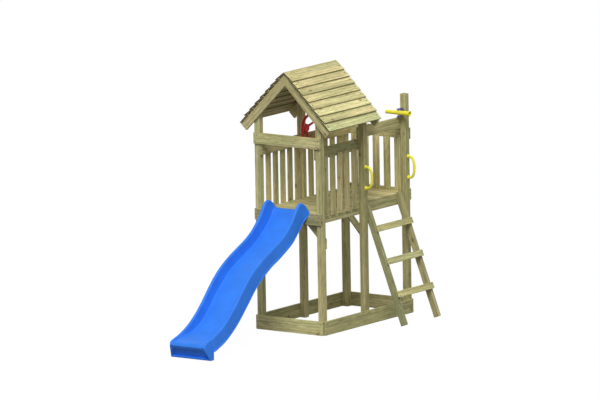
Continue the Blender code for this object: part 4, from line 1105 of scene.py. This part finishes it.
base_mesh = bmesh.new()
block_at = Matrix.Translation(pivot + Y * (base_front + SCOPE_BASE_T / 2))
block_size = Matrix.Diagonal((SCOPE_BASE, SCOPE_BASE_T, SCOPE_BASE, 1.0))
bmesh.ops.create_cube(base_mesh, size=1.0, matrix=block_at @ block_size)
bmesh.ops.bevel(
    base_mesh, geom=base_mesh.edges[:], offset=BASE_EASE, segments=3, profile=0.5, affect="EDGES")
turned(base_mesh, [
    (base_front + 0.002, 0.0), (base_front + 0.002, SCOPE_PIN_R), (web_front + 0.0006, SCOPE_PIN_R),
    (web_front, SCOPE_PIN_R - 0.0006), (web_front, 0.0)], Y, pivot, BASE_PIN_SIDES)
shaped("telescope_plate", base_mesh, PURPLE, "tower", "telescope_base", smooth=35)
for aside in (-1, 1):
    pair(pivot + X * (aside * SCOPE_BASE_SCREW) + Y * base_front, Z * SCOPE_BASE_SCREW, -Y, 0.2)

# The fork is one moulding, with a bore for the base's pin and a hole in each arm
CORNER_STEPS = 5
WEB_CORNER, ARM_CORNER, INNER_CORNER = 0.004, 0.007, 0.003
DRILL_SPARE = 0.01                      # how far the drill stands out of the web
HOLE_SPARE = 0.004                      # and of the arms
arm_out = SCOPE_ARM_Z + SCOPE_ARM_T


def rounded_outline(points):
    """An outline whose corners are rounded by the radius that stands with each."""
    outline = []
    for k, (y, z, radius) in enumerate(points):
        corner = Vector((y, z))
        before = (Vector(points[k - 1][:2]) - corner).normalized()
        after = (Vector(points[(k + 1) % len(points)][:2]) - corner).normalized()
        centre = corner + (before + after) * radius
        for turn in evenly(0.0, math.pi / 2, CORNER_STEPS):
            outline.append(centre - after * radius * math.cos(turn) - before * radius * math.sin(turn))
    return outline


half_fork = [(web_back, arm_out, WEB_CORNER), (SCOPE_ARM_END, arm_out, ARM_CORNER),
             (SCOPE_ARM_END, SCOPE_ARM_Z, ARM_CORNER), (web_front, SCOPE_ARM_Z, INNER_CORNER)]
other_half = [(y, -z, radius) for y, z, radius in half_fork]
fork = rounded_outline(other_half[:1] + half_fork + other_half[:0:-1])
fork_mesh = bmesh.new()
near, far = ([fork_mesh.verts.new(pivot + Vector((x, y, z))) for y, z in fork]
             for x in (-SCOPE_ARM_HALF, SCOPE_ARM_HALF))
fork_mesh.faces.new(near)
fork_mesh.faces.new(far[::-1])
bridge(fork_mesh, near, far)
bmesh.ops.recalc_face_normals(fork_mesh, faces=fork_mesh.faces)
rims = [edge for edge in fork_mesh.edges if (edge.verts[0] in near) == (edge.verts[1] in near)]
bmesh.ops.bevel(fork_mesh, geom=rims, offset=FORK_EASE, segments=2, profile=0.5, affect="EDGES")
fork_piece = shaped(
    "telescope_fork", fork_mesh, PURPLE, "bracket", "telescope_bracket", smooth=35)

drill_mesh = bmesh.new()
for start, end, radius, axis, sides in (
    (web_front - DRILL_SPARE, web_back + DRILL_SPARE, SCOPE_PIN_R + RUN, Y, BASE_PIN_SIDES),
    (HOLE_SPARE - SCOPE_ARM_Z, -arm_out - HOLE_SPARE, SCOPE_TRUNNION_R + RUN, Z, BOSS_SIDES),
    (SCOPE_ARM_Z - HOLE_SPARE, arm_out + HOLE_SPARE, SCOPE_TRUNNION_R + RUN, Z, BOSS_SIDES),
):
    turned(drill_mesh, [(start, 0.0), (start, radius), (end, radius), (end, 0.0)], axis, pivot, sides)
bmesh.ops.recalc_face_normals(drill_mesh, faces=drill_mesh.faces)
drill = put("fork_drill", meshed("fork_drill", drill_mesh))
bore = fork_piece.modifiers.new("bore", "BOOLEAN")
bore.operation = "DIFFERENCE"
bore.solver = "EXACT"
bore.object = drill
bored = as_shown(fork_piece)
fork_piece.modifiers.clear()
fork_piece.data = bored
bpy.data.objects.remove(drill, do_unlink=True)

# The tube is made like a spyglass, with a ring at the eye, two bands on the barrel and a wider hood
hood_at = SCOPE_FRONT - SCOPE_HOOD
slope = (SCOPE_FRONT_R - SCOPE_HOOD_STEP - SCOPE_EYE_R) / (hood_at - SCOPE_EYE)


def barrel(x):
    """The barrel's outer radius at x."""
    return SCOPE_EYE_R + (x - SCOPE_EYE) * slope


line = [
    (SCOPE_EYE + 0.0010, SCOPE_EYE_R - 0.0022), (SCOPE_EYE, SCOPE_EYE_R - 0.0010),
    (SCOPE_EYE, SCOPE_EYE_R + 0.0004), (SCOPE_EYE + 0.0008, SCOPE_EYE_R + 0.0012),
    (SCOPE_EYE + 0.0100, SCOPE_EYE_R + 0.0012), (SCOPE_EYE + 0.0112, barrel(SCOPE_EYE + 0.0112))]
for band in SCOPE_BANDS:
    line += [(band - 0.0052, barrel(band - 0.0052)), (band - 0.0042, barrel(band) + 0.0010),
             (band + 0.0042, barrel(band) + 0.0010), (band + 0.0052, barrel(band + 0.0052))]
line += [
    (hood_at - 0.0010, barrel(hood_at - 0.0010)), (hood_at, SCOPE_FRONT_R - 0.0010),
    (hood_at + 0.0010, SCOPE_FRONT_R), (SCOPE_FRONT - 0.0010, SCOPE_FRONT_R),
    (SCOPE_FRONT, SCOPE_FRONT_R - 0.0010), (SCOPE_FRONT, SCOPE_FRONT_R - SCOPE_WALL + 0.0008),
    (SCOPE_FRONT - 0.0008, SCOPE_FRONT_R - SCOPE_WALL),
    (hood_at, SCOPE_FRONT_R - SCOPE_HOOD_STEP - SCOPE_WALL), (SCOPE_EYE + 0.0030, SCOPE_EYE_R - SCOPE_WALL)]
scope_mesh = bmesh.new()
turned(scope_mesh, line + line[:1], X, pivot, SCOPE_SIDES)
boss_end, pin_tip, tube_radius = SCOPE_ARM_Z - SEAT, arm_out - SEAT, barrel(0.0)
for sign in (1, -1):
    turned(scope_mesh, [(sign * distance, radius) for distance, radius in (
        (tube_radius - 0.004, 0.0), (tube_radius - 0.004, SCOPE_BOSS_R + 0.0015),
        (tube_radius + 0.0012, SCOPE_BOSS_R), (boss_end, SCOPE_BOSS_R), (boss_end, SCOPE_TRUNNION_R),
        (pin_tip - 0.0008, SCOPE_TRUNNION_R), (pin_tip, SCOPE_TRUNNION_R - 0.0008), (pin_tip, 0.0))],
        Z, pivot, BOSS_SIDES)
bmesh.ops.remove_doubles(scope_mesh, verts=scope_mesh.verts, dist=MERGE)
shaped("telescope_barrel", scope_mesh, YELLOW, "scope", "telescope_tube", smooth=30)

# Every joint in the timber is held by dark cross-head screws, most of them in pairs. Their heads stand a
# millimetre proud of the wood.
SCREW_R = 0.0048
SCREW_DOME = 0.0012
SCREW_SLOT_HALF = 0.0006
SCREW_SLOT_END = 0.0024
SCREW_SLOT_DEEP = 0.0009
SCREW_SIDES = 12
SCREW_FLUSH = 0.35                      # share of the dome where nothing may stand past the timber
SCREW_SPREAD = 0.27                     # share of a board's height or width from its middle to a screw
SCREW_ASIDE = 0.010
BARGE_SCREW_DROP = 0.050
BARGE_SCREW_ASIDE = 0.012
ROOF_SCREW_DOWN = 0.018
ROOF_SCREW_ASIDE = 0.006
ROOF_SCREW_PROUD = 0.5
RUNG_T = 0.028
RUNG_H = 0.063
RUNG_SPREAD = 0.24
RUNG_SCREW_ASIDE = 0.008
SLIDE_CLEAR = 0.03                      # no plank screws this near behind the slide


def screw_tree():
    """Screw heads on the given points, each turned to face along the point's outward direction."""
    tree, given = group("screw_heads", "GeometryNodeTree", {
        "Geometry": "Geometry", "Head": "Object", "Seed": "Int", "Finish": "Material"},
        {"Geometry": "Geometry"})
    outward = result(tree, "GeometryNodeInputNamedAttribute", {"Name": "outward"}, data_type="FLOAT_VECTOR")
    proud = result(tree, "GeometryNodeInputNamedAttribute", {"Name": "proud"}, data_type="FLOAT")
    head = result(tree, "GeometryNodeObjectInfo", {"Object": given["Head"]}, "Geometry")
    facing = result(tree, "FunctionNodeAlignRotationToVector", {"Vector": outward}, axis="Z")
    spin = result(tree, "FunctionNodeRandomValue", {
        2: 0.0, 3: 2.0 * math.pi, "Seed": given["Seed"]}, 1, data_type="FLOAT")
    own = result(tree, "FunctionNodeAxisAngleToRotation", {"Axis": (0.0, 0.0, 1.0), "Angle": spin})
    way = result(tree, "FunctionNodeRotateRotation", {0: facing, 1: own}, rotation_space="LOCAL")
    size = result(tree, "ShaderNodeCombineXYZ", {0: 1.0, 1: 1.0, 2: proud})
    placed = result(tree, "GeometryNodeInstanceOnPoints", {
        "Points": given["Geometry"], "Instance": head, "Rotation": way, "Scale": size})
    real = result(tree, "GeometryNodeRealizeInstances", {0: placed})
    painted = result(tree, "GeometryNodeSetMaterial", {"Geometry": real, "Material": given["Finish"]})
    add_node(tree, "NodeGroupOutput", {0: painted})
    return tree


def screw_head():
    """A low domed head with a cross cut into it."""
    bm = bmesh.new()
    a, b = SCREW_SLOT_HALF, SCREW_SLOT_END
    cross = ((b, -a), (b, a), (a, a), (a, b), (-a, b), (-a, a),
             (-b, a), (-b, -a), (-a, -a), (-a, -b), (a, -b), (a, -a))
    turns = [math.radians(360 / SCREW_SIDES * (k - 0.5)) for k in range(SCREW_SIDES)]
    rings = []
    for radius, z in ((SCREW_R, -0.0002), (SCREW_R, 0.0003), (SCREW_R * 0.86, SCREW_DOME * 0.75),
                      (SCREW_R * 0.62, SCREW_DOME * 0.96)):
        rings.append([bm.verts.new((radius * math.cos(turn), radius * math.sin(turn), z)) for turn in turns])
    for z in (SCREW_DOME, SCREW_DOME - SCREW_SLOT_DEEP):
        rings.append([bm.verts.new((x, y, z)) for x, y in cross])
    for ring, following in zip(rings, rings[1:]):
        bridge(bm, ring, following)
    bm.faces.new(rings[-1])
    bm.faces.new(rings[0][::-1])
    return put("screw_pattern", meshed("screw_pattern", bm))


def middle(node, axis):
    """Middle of a CAD board along one axis."""
    low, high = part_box(node)
    return (low[axis] + high[axis]) / 2


def post_screws(node, posts, outward, tall=None, proud=1.0):
    """A pair of screws from a board's face into each post. A low wall's own board is its rail."""
    low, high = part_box(node)
    tall = tall or high.z - low.z
    face = high if sum(outward) > 0 else low
    aside = Vector((abs(outward.y), abs(outward.x), 0.0)) * SCREW_ASIDE
    for post in posts:
        x, y = (face[axis] if outward[axis] else middle(f"post_{post}", axis) for axis in (0, 1))
        pair((x, y, high.z - tall / 2), aside + Z * (tall * SCREW_SPREAD), outward, proud)


front_posts, back_posts = (tuple(f"{row}_{side}" for side, _ in SIDES) for row in ("front", "back"))
for node in ("base_front", "rail_front", "joist_front"):
    post_screws(node, front_posts, -Y)
post_screws("base_back", back_posts, Y, proud=SCREW_FLUSH)
post_screws("wall_back", back_posts, Y, RAIL_H, SCREW_FLUSH)
for side, sign in SIDES:
    side_posts = [f"{row}_{side}" for row in ROWS]
    post_screws(f"base_{side}", side_posts, X * sign)
    post_screws(f"wall_{side}", side_posts if sign < 0 else side_posts[:2], X * -sign, RAIL_H)
    post_screws(f"joist_{side}", side_posts[1:], X * -sign)
post_screws("entry_bar", ("middle_right", "back_right"), -X)

# Planks are screwed to both side joists and to the bearer
low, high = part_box("deck")
for number in range(planks):
    y = low.y + plank_w / 2 + number * plank_step
    for x in (middle_x, low.x + BOARD / 2, high.x - BOARD / 2):
        beside = abs(x - tower_origin.x) >= SLIDE_HALF
        if beside or y - tower_origin.y >= SLIDE_HEAD + SLIDE_CLEAR:
            pair((x, y, high.z), Y * (plank_w * SCREW_SPREAD), Z)

# Pickets of the back wall, seen from the platform and screwed from inside
low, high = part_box("wall_back")
for number in range(PICKETS):
    x = back_edge + PICKET_W / 2 + number * back_pitch
    for z in (high.z - RAIL_H + PICKET_HOLD / 2, low.z + BACK_FOOT_SCREW):
        pair((x, low.y, z), X * (PICKET_W * INNER_SCREW), -Y)

# Barge boards, roof boards and rungs
for row, post_row, out in (("front", "front", -1), ("back", "middle", 1)):
    for side, sign in SIDES:
        low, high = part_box(f"barge_{row}_{side}")
        post = f"post_{post_row}_{side}"
        at = (middle(post, 0), low.y if out < 0 else high.y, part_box(post)[1].z - BARGE_SCREW_DROP)
        pair(at, (X - Z * sign) * BARGE_SCREW_ASIDE, Y * out)
for side, sign in SIDES:
    slope = (X * sign + Z).normalized()
    for number in range(1, ROOF_BOARDS + 1):
        node = f"roof_board_{side}_{number}"
        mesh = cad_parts[node].data
        upper = max((face for face in mesh.polygons if face.normal.dot(slope) > 0.97),
                    key=lambda face: face.area)
        facing = Vector(upper.normal)
        plane = mesh.vertices[upper.vertices[0]].co
        x = middle(node, 0) + sign * ROOF_SCREW_DOWN
        z = plane.z - (x - plane.x) * facing.x / facing.z
        for row in ("front", "back"):
            pair((x, middle(f"barge_{row}_{side}", 1), z), Y * ROOF_SCREW_ASIDE, facing, ROOF_SCREW_PROUD)
out = Vector((math.cos(LADDER_LEAN), 0, math.sin(LADDER_LEAN)))
for number in range(1, RUNGS + 1):
    face = Vector((middle(f"rung_{number}", 0), 0, middle(f"rung_{number}", 2))) + out * RUNG_T / 2
    for node in ("stringer_near", "stringer_far"):
        pair(face + Y * middle(node, 1), ladder_up * (-RUNG_H * RUNG_SPREAD) + Y * RUNG_SCREW_ASIDE, out)

points = bpy.data.meshes.new("screw_places")
points.from_pydata([tuple(place) for place, _, _ in screw_places], [], [])
points.attributes.new("outward", "FLOAT_VECTOR", "POINT")
points.attributes.new("proud", "FLOAT", "POINT")
for k, (_, direction, height) in enumerate(screw_places):
    points.attributes["outward"].data[k].vector = direction
    points.attributes["proud"].data[k].value = height

# Dark plated steel, a little brown, and brighter where the driver has rubbed
steel, tree, shader = new_material("screw_steel")
stain_and_painted_shade = noise(result(tree, "ShaderNodeTexCoord", output="Object"), 240.0, 3.0)
steel_color = blended(ramp(stain_and_painted_shade, 0.35, 0.7), (0.060, 0.050, 0.036, 1.0), (0.130, 0.115, 0.085, 1.0))
feed(shader, {"Base Color": steel_color, "Roughness": stain_and_painted_shade * 0.3 + 0.35, "Metallic": 0.7})
pattern = screw_head()
screws = grown("screw_heads", screw_tree(), {"Head": pattern, "Seed": 5, "Finish": steel}, points)
bpy.data.objects.remove(pattern, do_unlink=True)
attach(screws, "tower")
